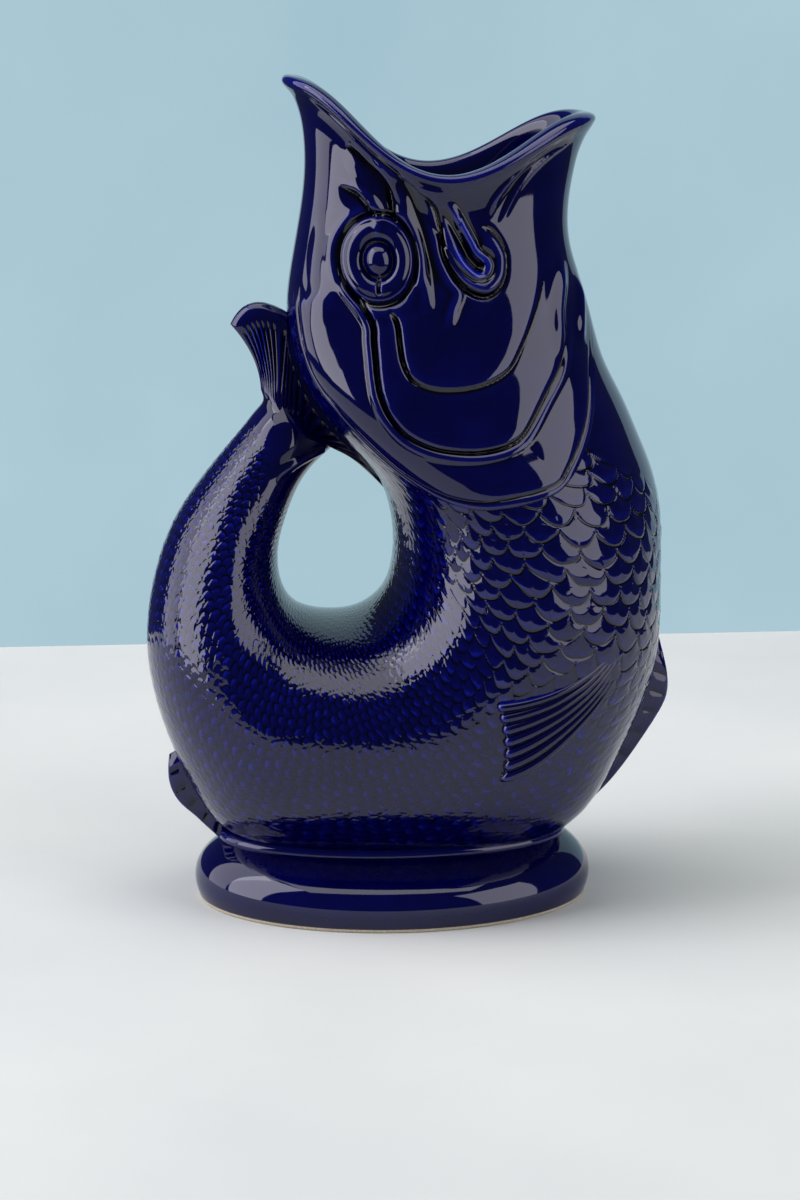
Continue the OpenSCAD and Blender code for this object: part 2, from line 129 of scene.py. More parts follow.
def skin(u, a, lift=0.0, level=FOOT_TOP):
    """Places on the skin at stations u and angles a: 0 is the belly, 180 the back, 270 the right side."""
    u, a = np.broadcast_arrays(np.asarray(u, float), np.radians(a))
    back_x, back_z, belly_x, belly_z, half_w, droop, power, keel = np.moveaxis(smooth(STATIONS, u), -1, 0)
    span = np.hypot(belly_x - back_x, belly_z - back_z)
    dir_x, dir_z = (belly_x - back_x) / span, (belly_z - back_z) / span
    reach = (span / 2 + lift) * np.cos(a)
    sag = droop * np.abs(np.sin(a))**power
    x = (back_x + belly_x) / 2 + dir_x * reach + dir_z * sag
    z = (back_z + belly_z) / 2 + dir_z * reach - dir_x * sag
    y = (half_w + lift) * np.sin(a) * (1 - keel * np.cos(a))
    return np.stack([x, y, np.maximum(z, level)], axis=-1)


def unit(ways):
    """Directions brought to a length of 1."""
    return ways / np.maximum(np.linalg.norm(ways, axis=-1, keepdims=True), 1e-15)


def facing(coat):
    """Which way each place of a grid faces, with rows along the fish and columns round it."""
    return unit(np.cross(np.gradient(coat, axis=0), np.roll(coat, -1, axis=1) - np.roll(coat, 1, axis=1)))


def curvature(coat, normal):
    """How sharply a grid is bent, per metre: above 0 on ridges and edges, below 0 in grooves."""
    total = 0
    for axis in (0, 1):
        ahead, behind = np.roll(coat, -1, axis), np.roll(coat, 1, axis)
        step = np.linalg.norm(ahead - behind, axis=2) / 2
        bend = -((ahead + behind - 2 * coat) * normal).sum(axis=2)
        total = total + bend / np.maximum(step, 0.25 * MM)**2
    for _ in range(2):
        total = (total + np.roll(total, 1, 0) + np.roll(total, -1, 0)) / 3
        total = (total + np.roll(total, 1, 1) + np.roll(total, -1, 1)) / 3
    return total


def cast(name, coats, nodes, material, closed=True):
    """One mesh from coats: grids that follow each other, each with a spare row at both ends.

    A fourth value at a place is a tone that is added to the glaze's own. A closed mesh runs
    back from the last row to the first, and an open one ends in two poles.
    """
    rows = []
    for coat in coats:
        place = coat[..., :3]
        normal = facing(place)
        tone = np.clip(curvature(place, normal) * THIN_RADIUS, -1, 1)
        # the fourth value adds painted highlights and painted shade to the tone from the glaze's thinning and
        # gathering
        if coat.shape[-1] > 3:
            tone = tone + coat[..., 3]
        rows.append(np.concatenate([place, normal, tone[..., None]], axis=-1)[1:-1])
    rows = np.concatenate(rows)
    bands = len(rows) if closed else len(rows) - 1
    cols = rows.shape[1]

    bm = bmesh.new()
    bmesh.ops.create_grid(bm, x_segments=cols, y_segments=bands, size=0.5)
    mesh = bpy.data.meshes.new(name)
    bm.to_mesh(mesh)
    flat = np.empty(len(mesh.vertices) * 3)
    mesh.vertices.foreach_get("co", flat)
    flat = flat.reshape(-1, 3) + 0.5
    data = rows[np.rint(flat[:, 1] * bands).astype(int) % len(rows), np.rint(flat[:, 0] * cols).astype(int) % cols]
    mesh.vertices.foreach_set("co", data[:, :3].ravel())
    mesh.attributes.new("way", "FLOAT_VECTOR", "POINT").data.foreach_set("vector", data[:, 3:6].ravel())
    # the thin tone holds the glaze's thinning and gathering, and painted highlights and painted shade as well
    mesh.attributes.new("thin", "FLOAT", "POINT").data.foreach_set("value", data[:, 6].ravel())

    bm.clear()
    bm.from_mesh(mesh)
    bmesh.ops.remove_doubles(bm, verts=bm.verts, dist=0.0002 * MM)
    for face in bm.faces:
        face.smooth = True
    outward = bm.calc_volume(signed=True) > 0
    if not outward:
        bmesh.ops.reverse_faces(bm, faces=bm.faces)
    bm.to_mesh(mesh)
    bm.free()
    way, thin = np.empty(len(mesh.vertices) * 3), np.empty(len(mesh.vertices))
    mesh.attributes["way"].data.foreach_get("vector", way)
    if outward:
        # the grids of such a piece run the other way round, and so do their normals and bends
        way = -way
        mesh.attributes["thin"].data.foreach_get("value", thin)
        mesh.attributes["thin"].data.foreach_set("value", -thin)
    mesh.normals_split_custom_set_from_vertices(way.reshape(-1, 3))
    mesh.attributes.remove(mesh.attributes["way"])
    mesh.materials.append(material)

    piece = bpy.data.objects.new(name, mesh)
    bpy.context.collection.objects.link(piece)
    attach(piece, "root")
    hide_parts(*nodes)


def rgb(code):
    """A colour as the shader takes it, from its sRGB hex code."""
    parts = [int(code[i:i + 2], 16) / 255 for i in (1, 3, 5)]
    return [p / 12.92 if p <= 0.04045 else ((p + 0.055) / 1.055)**2.4 for p in parts] + [1]


def add_node(tree, kind, settings=None, **inputs):
    """A new shader node with its settings; inputs are values, or sockets to link from."""
    node = tree.nodes.new("ShaderNode" + kind)
    for key, value in (settings or {}).items():
        setattr(node, key, value)
    for key, value in inputs.items():
        socket = node.inputs[int(key[1:])] if key[0] == "_" else node.inputs[key.replace("_", " ")]
        if isinstance(value, bpy.types.NodeSocket):
            tree.links.new(value, socket)
        else:
            socket.default_value = value
    return node


def ramp(tree, source, *stops):
    """A colour ramp over the stops (place, colour)."""
    node = add_node(tree, "ValToRGB", Fac=source)
    bar = node.color_ramp.elements
    for place, colour in stops[1:-1]:
        bar.new(place).color = rgb(colour)
    bar[0].position, bar[0].color = stops[0][0], rgb(stops[0][1])
    bar[-1].position, bar[-1].color = stops[-1][0], rgb(stops[-1][1])
    return node.outputs["Color"]


def blank_material(name):
    """A material without a shader, its node tree, and the socket for places on the object."""
    material = bpy.data.materials.new(name)
    material.use_nodes = True
    tree = material.node_tree
    tree.nodes.clear()
    return material, tree, add_node(tree, "TexCoord").outputs["Object"]


def glaze_material():
    """Cobalt glaze, dipped and fired to a gloss: it runs together near black in grooves and thins to bright blue on
    edges, and the same tone carries painted highlights and painted shade.

    Its colour wanders over about 11 mm, and its surface ripples over about 9 mm, as a poured glaze does.
    """
    material, tree, where = blank_material("cobalt_gloss_glaze")
    # this attribute holds the glaze's own thinning and gathering, and painted highlights and painted shade
    thin = add_node(tree, "Attribute", {"attribute_name": "thin"}).outputs["Fac"]
    clouds = add_node(tree, "TexNoise", Vector=where, Scale=1 / (11 * MM), Detail=3.0).outputs["Fac"]
    cloudy = add_node(tree, "Math", {"operation": "MULTIPLY_ADD"}, _0=clouds, _1=0.2, _2=thin).outputs[0]
    depth = add_node(tree, "MapRange", Value=cloudy, From_Min=-0.9, From_Max=1.1).outputs["Result"]
    colour = ramp(tree, depth, (0.0, "#000005"), (0.36, "#000010"), (0.5, "#010136"), (0.62, "#040752"),
                  (0.8, "#0d1a8a"), (1.0, "#1d33b4"))
    ripple = add_node(tree, "TexNoise", Vector=where, Scale=1 / (9 * MM), Detail=1.0).outputs["Fac"]
    bump = add_node(tree, "Bump", Height=ripple, Strength=0.3, Distance=0.12 * MM).outputs["Normal"]
    gloss = add_node(tree, "MapRange", Value=clouds, To_Min=0.03, To_Max=0.06).outputs["Result"]
    shader = add_node(tree, "BsdfPrincipled", Base_Color=colour, Roughness=gloss, IOR=1.52, Normal=bump)
    add_node(tree, "OutputMaterial", Surface=shader.outputs[0])
    return material


glaze = glaze_material()

# Pitch of the rows of scales along the side, by station, and width of a scale by station and angle
ROW_STATIONS = [4, 9, 11, 13, 15, 17, 20, 23, 25]
ROW_MM = [6.0, 6.2, 6.0, 5.6, 4.3, 3.8, 3.5, 2.8, 2.6]
SCALE_ANGLES = [180, 205, 230, 250, 270, 285, 300, 330, 360]
SCALE_STATIONS = [5, 9, 12, 13, 14, 15.5, 17.5, 20, 23, 25]
SCALE_MM = [
    [3.2, 3.6, 5.0, 8.0, 10.0, 12.0, 12.0, 9.0, 8.0],
    [3.0, 3.4, 5.5, 10.0, 12.5, 14.0, 14.0, 10.0, 8.0],
    [3.0, 3.4, 5.5, 10.0, 13.0, 14.5, 14.0, 10.0, 8.0],
    [3.0, 3.3, 4.5, 6.5, 9.0, 10.0, 10.0, 7.0, 6.0],
    [3.0, 3.2, 3.8, 4.6, 5.6, 6.0, 6.0, 5.0, 5.0],
    [3.2, 3.2, 3.4, 3.6, 3.8, 4.0, 4.0, 3.8, 3.8],
    [3.4, 3.4, 3.5, 3.6, 3.8, 3.8, 3.6, 3.4, 3.4],
    [3.8, 3.8, 3.8, 4.0, 4.0, 4.0, 4.0, 3.8, 3.8],
    [2.8] * 9,
    [2.6] * 9,
]

# Rows and columns of scales counted over a grid of stations and angles of the right side
GRID_U = np.linspace(0, TAIL_TIP, 251)
GRID_A = np.linspace(180, 360, 181)
grid = skin(GRID_U[:, None], GRID_A[None, :])
side_step = np.linalg.norm(np.diff(grid[:, 90], axis=0), axis=1)
middle_u = (GRID_U[1:] + GRID_U[:-1]) / 2
ROW_COUNT = np.concatenate([[0], np.cumsum(side_step / MM / np.interp(middle_u, ROW_STATIONS, ROW_MM))])
across = np.stack([np.interp(GRID_A, SCALE_ANGLES, line) for line in SCALE_MM])
scale_mm = np.stack([np.interp(GRID_U, SCALE_STATIONS, column) for column in across.T], axis=1)
angle_step = np.linalg.norm(np.gradient(grid, axis=1), axis=2) / MM
counted = np.cumsum(angle_step / scale_mm, axis=1)
COLUMN_COUNT = counted - counted[:, 90:91]
row_length = np.linalg.norm(np.gradient(grid, axis=0), axis=2) / np.gradient(ROW_COUNT)[:, None]


def fold(a):
    """The angle on the right side for angles of both sides."""
    return np.where(np.mod(a, 360) < 180, 360 - np.mod(a, 360), np.mod(a, 360))


def read(table, u, a):
    """A table over the grid of stations and angles, read between its places."""
    i, j = u / TAIL_TIP * (len(GRID_U) - 1), fold(a) - 180
    i0, j0 = np.clip(i.astype(int), 0, len(GRID_U) - 2), np.clip(j.astype(int), 0, len(GRID_A) - 2)
    ti, tj = i - i0, j - j0
    return ((table[i0, j0] * (1 - tj) + table[i0, j0 + 1] * tj) * (1 - ti)
            + (table[i0 + 1, j0] * (1 - tj) + table[i0 + 1, j0 + 1] * tj) * ti)


def ease(low, high, value):
    """0 below low, 1 above high, smooth between."""
    t = np.clip((value - low) / (high - low), 0, 1)
    return t * t * (3 - 2 * t)


# Widths in mm of a fine and a broad scale, their heights, and half the width of the line cut round them
FINE_WIDTH, BROAD_WIDTH = 4.5, 11
FINE_HEIGHT, BROAD_HEIGHT = 0.09, 0.31
CUT_HALF = 0.32
# Exponent of a scale's round edge, and shares of its length where it is full, falls, and carries its painted highlight
EDGE_POWER = 2.2
FULL_SHARE, FALL_SHARE, PAINTED_HIGHLIGHT_SHARE = 0.6, 0.62, 0.8


def scales(u, a):
    """Height in mm of the moulded scales, and the tone of the glaze on them, with a painted highlight in a crescent
    near each scale's edge.

    Each scale is a low pillow that rolls down to its edge, over the row after it. The broad
    scales of the breast stand higher than the fine ones, which are little more than dimples.
    """
    s = np.interp(u, GRID_U, ROW_COUNT)
    c = read(COLUMN_COUNT, u, a)
    length = read(row_length, u, a) / MM
    width = read(scale_mm, u, a)
    # the scales were cut by hand, so rows and columns wander a little
    s = s + 0.10 * np.sin(2.1 * c + 0.7 * s) + 0.06 * np.sin(5.3 * c - 1.9 * s)
    c = c + 0.10 * np.sin(1.3 * s + 0.9 * c)
    row = np.floor(s)
    f = s - row
    own = (c + 0.5 * np.mod(row, 2) + 0.5) % 1 - 0.5
    upper = (c + 0.5 * np.mod(row + 1, 2) + 0.5) % 1 - 0.5
    own_edge = np.sqrt(np.clip(1 - (2 * np.abs(own))**EDGE_POWER, 0, 1))
    upper_edge = np.sqrt(np.clip(1 - (2 * np.abs(upper))**EDGE_POWER, 0, 1))
    on_upper = f < upper_edge
    to_edge = np.where(on_upper, upper_edge - f, 1 + own_edge - f)
    from_root = np.where(on_upper, 1 + f - own_edge, f - upper_edge)
    share = from_root / np.maximum(from_root + to_edge, 1e-6)
    broad = ease(FINE_WIDTH, BROAD_WIDTH, width)
    high = FINE_HEIGHT + (BROAD_HEIGHT - FINE_HEIGHT) * broad
    pillow = ease(-0.1, FULL_SHARE, share) * (1 - ease(FALL_SHARE, 1.08, share))
    line = np.exp(-(np.minimum(to_edge, from_root) * length / CUT_HALF)**2)
    # a crescent near the edge of each scale is painted lighter: a painted highlight where its roll catches the light
    painted_highlight_crescent = np.exp(-((share - PAINTED_HIGHLIGHT_SHARE) / 0.14)**2)
    # a number between 0 and 1 that belongs to this scale
    row_here = row + on_upper
    chance = 0.5 + 0.5 * np.sin(12.9 * row_here + 78.2 * np.floor(c + 0.5 * np.mod(row_here, 2) + 0.5))
    tone = painted_highlight_crescent * (0.12 + (0.3 - 0.2 * broad) * chance) - line * (0.4 + 0.4 * broad)
    # the tops of the fine scales lie on the body's own surface
    return high * (pillow * (0.7 + 0.5 * chance) - 1.2 * (1 - broad)) - line * (0.02 + 0.18 * broad), tone


def dense(first, last, count):
    """Evenly spaced stations with one spare at both ends."""
    step = (last - first) / (count - 1)
    return np.linspace(first - step, last + step, count + 2)


def angles(count):
    """Evenly spaced angles of a full turn."""
    return np.arange(count) * 360.0 / count


def inner_coat(first, last, count, cols):
    """Inside of the wall, from the lower station back to the upper one, which may vary round the body."""
    u = last + (first - last) * dense(0, 1, count)[:, None]
    return skin(np.maximum(u, 0), angles(cols), -WALL, FOOT_TOP + WALL)


# Stations round the right side: where the gill cover ends, and where the scales start and end
GILL_ANGLES = [180, 195, 199, 203, 207, 211, 218, 223, 233, 248, 264, 276, 284, 296, 306, 316, 326, 342, 352, 360]
GILL_STATIONS = [4.75, 4.8, 5.1, 6.1, 6.7, 7.05, 7.9, 8.75, 9.33, 9.43, 9.17, 8.9, 8.7, 8.15, 7.6, 6.98, 6.25, 5.15,
                 4.5, 4.3]
CHEST_ANGLES = [180, 300, 310, 313, 322, 332, 337, 360]
CHEST_STATIONS = [3, 7.2, 7.95, 8.35, 8.6, 8.97, 9.28, 9.6]
ROOT_ANGLES = [180, 250, 264, 273, 292, 323, 360]
ROOT_STATIONS = [22.7, 22.9, 23.4, 23.95, 24.45, 24.7, 24.7]
# the gill cover's corners are rounded over 6 degrees to both sides
CORNER_STEPS = 12
round_angles = np.linspace(180, 360, 361)
corner = np.hanning(2 * CORNER_STEPS + 3)[1:-1]
padded = np.pad(np.interp(round_angles, GILL_ANGLES, GILL_STATIONS), CORNER_STEPS, mode="reflect")
round_gill = np.convolve(padded, corner / corner.sum(), mode="valid")


def gill_edge(a):
    """Station where the gill cover's free edge lies."""
    return np.interp(fold(a), round_angles, round_gill)


def swell(place, x, z, radius, height):
    """Height in mm of a soft pad round a place (x, z) of the side view, in mm."""
    off = ((place[..., 0] / MM - x)**2 + (place[..., 2] / MM - z)**2) / radius**2
    return height * np.exp(-off**1.5)


# Depth in mm of the skin under the gill cover's edge, and stations where the belly's parts meet
GILL_DIP = 1.2
BREAST_START, BELLY_START, UNDERSIDE_START, TAIL_START = 10.4, 12.6, 15.2, 18.5


def scaly_coat(first, last, count, cols, form=None):
    """Outside of the wall with its scales; first may vary round the body, and form adds more relief in mm."""
    a = angles(cols)
    u = np.clip(last + (first - last) * dense(1, 0, count)[:, None], 0, TAIL_TIP + 0.05)
    coat = skin(u, a)
    normal = facing(coat)
    high, tone = scales(u, a)
    chest = np.interp(fold(a), CHEST_ANGLES, CHEST_STATIONS)
    root = np.interp(fold(a), ROOT_ANGLES, ROOT_STATIONS)
    shown = ease(0, 2.5 * MM, coat[..., 2] - FOOT_TOP) * ease(chest - 0.25, chest + 0.25, u) * (
        1 - ease(root - 0.5, root + 0.1, u))
    # the skin dips where the gill cover lies over it
    total = high * shown - GILL_DIP * (1 - ease(-0.13, 0.0, u - gill_edge(a)))
    if form is not None:
        total = total + form(coat, normal)
    coat = coat + normal * (total * MM)[..., None]
    return np.concatenate([coat, (tone * shown)[..., None]], axis=-1)


cols = 640
bands = ((gill_edge(angles(cols)) - 0.3, BREAST_START, 140, "shoulder", ["shoulder_shell"]),
         (BREAST_START, BELLY_START, 138, "breast", ["shoulder_shell", "belly_shell"]),
         (BELLY_START, UNDERSIDE_START, 138, "belly", ["belly_shell"]),
         (UNDERSIDE_START, TAIL_START, 138, "underside", ["belly_shell", "base_shell", "tail_root_shell"]))
for first, last, count, name, nodes in bands:
    cast(name, [scaly_coat(first, last, count, cols), inner_coat(first, last, 10, cols)], nodes, glaze)

# ---- Tail ----
# The body narrows behind the finger hole into the hollow handle, with finer
# scales that run out on the smooth root of the tail fin. Its top is blind.

TAIL_SPLIT = 21.8


def trail(places):
    """A fine line on the right side through places (station, angle), in mm."""
    rows = with_ends(places)
    s = np.linspace(0, len(places) - 1, 22 * len(places))
    i = np.clip(s.astype(int), 0, len(places) - 2)
    t = (s - i)[:, None]
    p, q, r, v = rows[i], rows[i + 1], rows[i + 2], rows[i + 3]
    line = (2 * q + (r - p) * t + (2 * p - 5 * q + 4 * r - v) * t**2 + (3 * q - p - 3 * r + v) * t**3) / 2
    line = skin(np.clip(line[:, 0], 0, TAIL_TIP), line[:, 1]) / MM
    length = np.concatenate([[0], np.cumsum(np.linalg.norm(np.diff(line, axis=0), axis=1))])
    return np.stack([np.interp(np.linspace(0, length[-1], len(line)), length, line[:, i]) for i in range(3)], axis=1)


def measure(coat, normal, line):
    """Distance in mm from a line, above 0 on its left, with the share of its length and the overshoot."""
    mirror = np.where(coat[..., 1] > 0, -1, 1)[..., None] * [0, 1, 0] + [1, 0, 1]
    place, way = (coat * mirror / MM).reshape(-1, 3), (normal * mirror).reshape(-1, 3)
    distance = np.full(len(place), 99.0)
    share, over = np.zeros(len(place)), np.full(len(place), 99.0)
    inside = ((place > line.min(axis=0) - 22) & (place < line.max(axis=0) + 22)).all(axis=1)
    place, way = place[inside], way[inside]
    near = ((place**2).sum(axis=1)[:, None] + (line**2).sum(axis=1) - 2 * place @ line.T).argmin(axis=1)
    tangent = np.gradient(line, axis=0)
    spacing = np.linalg.norm(tangent, axis=1)
    tangent /= spacing[:, None]
    offset, ahead = place - line[near], tangent[near]
    past = (offset * ahead).sum(axis=1)
    sideways = np.linalg.norm(offset - past[:, None] * ahead, axis=1)
    left = (offset * np.cross(way, ahead)).sum(axis=1) >= 0
    distance[inside] = np.where(left, sideways, -sideways)
    share[inside] = np.clip((near + past / spacing[near]) / (len(line) - 1), 0, 1)
    over[inside] = np.where(near == 0, np.maximum(-past, 0), np.where(near == len(line) - 1, np.maximum(past, 0), 0))
    return [v.reshape(coat.shape[:2]) for v in (distance, share, over)]


def along(coat, normal, line, start, end, reach=1.5):
    """Distance in mm from a line, the share of its length, and a weight.

    The weight fades over the shares start and end at the line's two ends, and over the reach in mm past them.
    """
    distance, share, over = measure(coat, normal, line)
    weight = ease(0, start, share) * (1 - ease(1 - end, 1, share))
    return distance, share, weight * np.exp(-(over / reach)**2)


def bead(distance, centre, half, height):
    """A rounded ridge."""
    return height * (1 - np.clip(((distance - centre) / half)**2, 0, 1))**1.5


def furrow(distance, depth, wide):
    """A soft groove, or a soft ridge where its depth is below 0."""
    return -depth * np.exp(-(distance / wide)**2)


# The pad at the root of the tail fin: its place x and z, its radius and its height, in mm
TAIL_PAD = (-38.5, 160.5, 7.5, 2.0)
TAIL_BEAD = trail([(24.9, 214), (24.73, 220), (24.28, 235), (23.75, 248), (23.4, 260)])
TAIL_CREST = trail([(23.1, 279), (22.88, 276), (22.1, 268), (21.48, 264), (20.68, 260), (20.03, 260), (19.4, 262),
                    (18.73, 268)])
CREST_HEIGHT, CREST_HALF, CREST_ROUND = 1.7, 11, 2


def tail_form(coat, normal):
    """Height in mm of the pad at the root of the tail fin, the bead down from it, and the tail's crest."""
    d, _, shown = along(coat, normal, TAIL_BEAD, 0.02, 0.5)
    total = swell(coat, *TAIL_PAD) + shown * bead(d, centre=0, half=2.4, height=1.2)
    # the sides of the tail are flat and meet in a soft crest
    d, _, shown = along(coat, normal, TAIL_CREST, 0.4, 0.25, reach=math.inf)
    slope = (1 - np.clip((np.hypot(d, CREST_ROUND) - CREST_ROUND) / CREST_HALF, 0, 1))**2
    return total + shown * CREST_HEIGHT * slope


def closing(ring, count=6):
    """Rows that shrink a ring to one place in its middle."""
    middle = ring.mean(axis=0)
    return np.array([middle + (ring - middle) * math.cos(t) for t in np.linspace(0, math.pi / 2, count)])


def spare(rows):
    """Rows with a repeated spare row at both ends."""
    return np.concatenate([rows[:1], rows, rows[-1:]])


cols = 420
cast("tail_root", [scaly_coat(TAIL_START, TAIL_SPLIT, 210, cols, tail_form),
                   inner_coat(TAIL_START, TAIL_SPLIT, 10, cols)], ["tail_root_shell", "tail_shell"], glaze)
inside = inner_coat(TAIL_SPLIT, TAIL_TIP - 0.3, 12, cols)
outside = scaly_coat(TAIL_SPLIT, TAIL_TIP, 190, cols, tail_form)
cast("tail", [spare(closing(inside[1])[::-1]), inside, outside, spare(closing(outside[-2, :, :3])[1:])],
     ["tail_shell"], glaze, closed=False)

# ---- Head ----
# The pouring throat, with the fish's face moulded on it: rolled lips, lobes at
# the corners of the mouth, cheek plates that overlap, and the gill covers.
# Its outside ends in the gill covers' free edge, over the first scales.

# Places (station, angle) of the forms on the right side
GILL_LINE = trail([(4.93, 199), (5.4, 201), (6.1, 203), (6.66, 207), (7.1, 212), (7.9, 218), (8.75, 223), (9.33, 233),
                   (9.43, 248), (9.17, 264), (8.75, 284), (8.15, 296), (6.98, 316), (5.15, 342)])
OUTER_CHEEK = trail([(3.75, 227), (3.85, 230), (4.08, 237), (4.35, 241.5), (4.75, 242), (5.2, 242), (5.75, 241),
                     (6.2, 240), (6.75, 240), (7.18, 242.5), (7.42, 249), (7.48, 258), (7.43, 268), (7.25, 278),
                     (6.95, 286), (6.12, 300), (5.43, 312), (4.85, 319), (4.23, 326)])
INNER_CHEEK = trail([(3.83, 248), (4.1, 251.5), (4.58, 252.3), (5.03, 252.8), (5.43, 254.5), (5.62, 259), (5.65, 266),
                     (5.55, 276), (5.35, 285), (5.08, 292), (4.6, 299), (4.12, 306), (3.58, 314), (3.0, 320)])
LIP_LINE = trail([(0.0, 253), (0.05, 261), (0.5, 267.5), (1.15, 271), (1.8, 272.5), (2.3, 275.5), (2.85, 280.5),
                  (3.17, 287), (3.2, 293), (2.95, 298.5), (2.5, 300), (2.1, 298), (1.65, 293.5), (1.38, 289.5),
                  (1.25, 286)])
HAIRPIN = trail([(0.2, 268), (0.68, 272), (1.15, 276), (1.73, 281), (2.1, 284), (2.38, 287.5)])
LOWER_LIP_RIDGE = trail([(1.28, 290), (0.95, 291), (0.62, 292.5), (0.32, 296), (0.15, 303), (0.06, 313), (0.04, 328)])
LOWER_LIP_BORDER = trail([(1.6, 296), (1.05, 300), (0.68, 304), (0.4, 310), (0.28, 318), (0.22, 330)])
LEAF = trail([(0.68, 227), (0.53, 233), (0.52, 239), (0.53, 243.5), (0.63, 247), (0.83, 249), (1.12, 250.3),
              (1.43, 251)])
LEAF_EDGE = trail([(0.70, 227.0), (0.93, 229.5), (1.10, 232.0), (1.25, 235.0), (1.43, 237.5), (1.68, 241.5)])
TEMPLE = trail([(2.68, 221.0), (3.23, 216.5), (3.70, 215.5), (4.20, 219.0), (4.85, 222.5)])
BROW = trail([(2.05, 219), (1.88, 227), (1.79, 232), (1.79, 236), (1.85, 239), (1.95, 241)])
LONG_RIDGE = trail([(0.0, 243), (0.1, 248), (0.33, 252.5), (0.75, 255), (1.2, 257.5), (1.6, 260.5), (2.2, 263.5),
                    (2.9, 264.5), (3.4, 264.5), (3.8, 264)])
SHORT_RIDGE = trail([(0.8, 264.5), (1.43, 267.5), (2.12, 271), (2.68, 275), (3.03, 278), (3.43, 275), (3.88, 271.5),
                     (4.1, 270)])
CHANNEL = trail([(0.02, 252), (0.3, 258), (0.8, 260), (1.3, 262.5), (1.9, 267), (2.5, 269), (3.1, 270)])
FOLDS = [trail([(3.0, 333), (3.45, 330), (4.12, 321), (4.75, 316.5), (5.3, 314)]),
         trail([(3.6, 347), (4.23, 340), (4.73, 333), (5.3, 328)]),
         trail([(5.5, 340), (5.95, 334), (6.55, 327), (7.2, 318)])]
# Plain ridges: line, shares of it over which the ridge rises and runs out, half its width and its height in mm
RIDGES = [(LOWER_LIP_RIDGE, 0.25, 0.3, 1.9, 1.1), (LEAF_EDGE, 0.3, 0.3, 4.0, 0.4), (LONG_RIDGE, 0.1, 0.2, 3.0, 1.1),
          (SHORT_RIDGE, 0.35, 0.2, 2.6, 1.1)]
# Middle of the eye and half its length and height, in mm of the side view
EYE_PLACE, EYE_HALF = (-7.4, 220.1), (11.6, 13.9)


def step(distance, up, roll, fade_up, down=0, fade_down=1):
    """A rounded step in mm at a line: up on its left, down on its right, running out on both sides."""
    edge = np.clip(distance / roll, 0, 1)
    left = ((up + down) * np.sqrt(1 - (1 - edge)**2) - down) * (1 - ease(roll, roll + fade_up, distance))
    return np.where(distance >= 0, left, -down * (1 - ease(0, 1, -distance / fade_down)))


def gathered_glaze_and_painted_shade(distance, wide):
    """Tone at the foot of a step: glaze that has run together there, and painted shade."""
    return -0.7 * np.exp(-(distance / wide)**2)


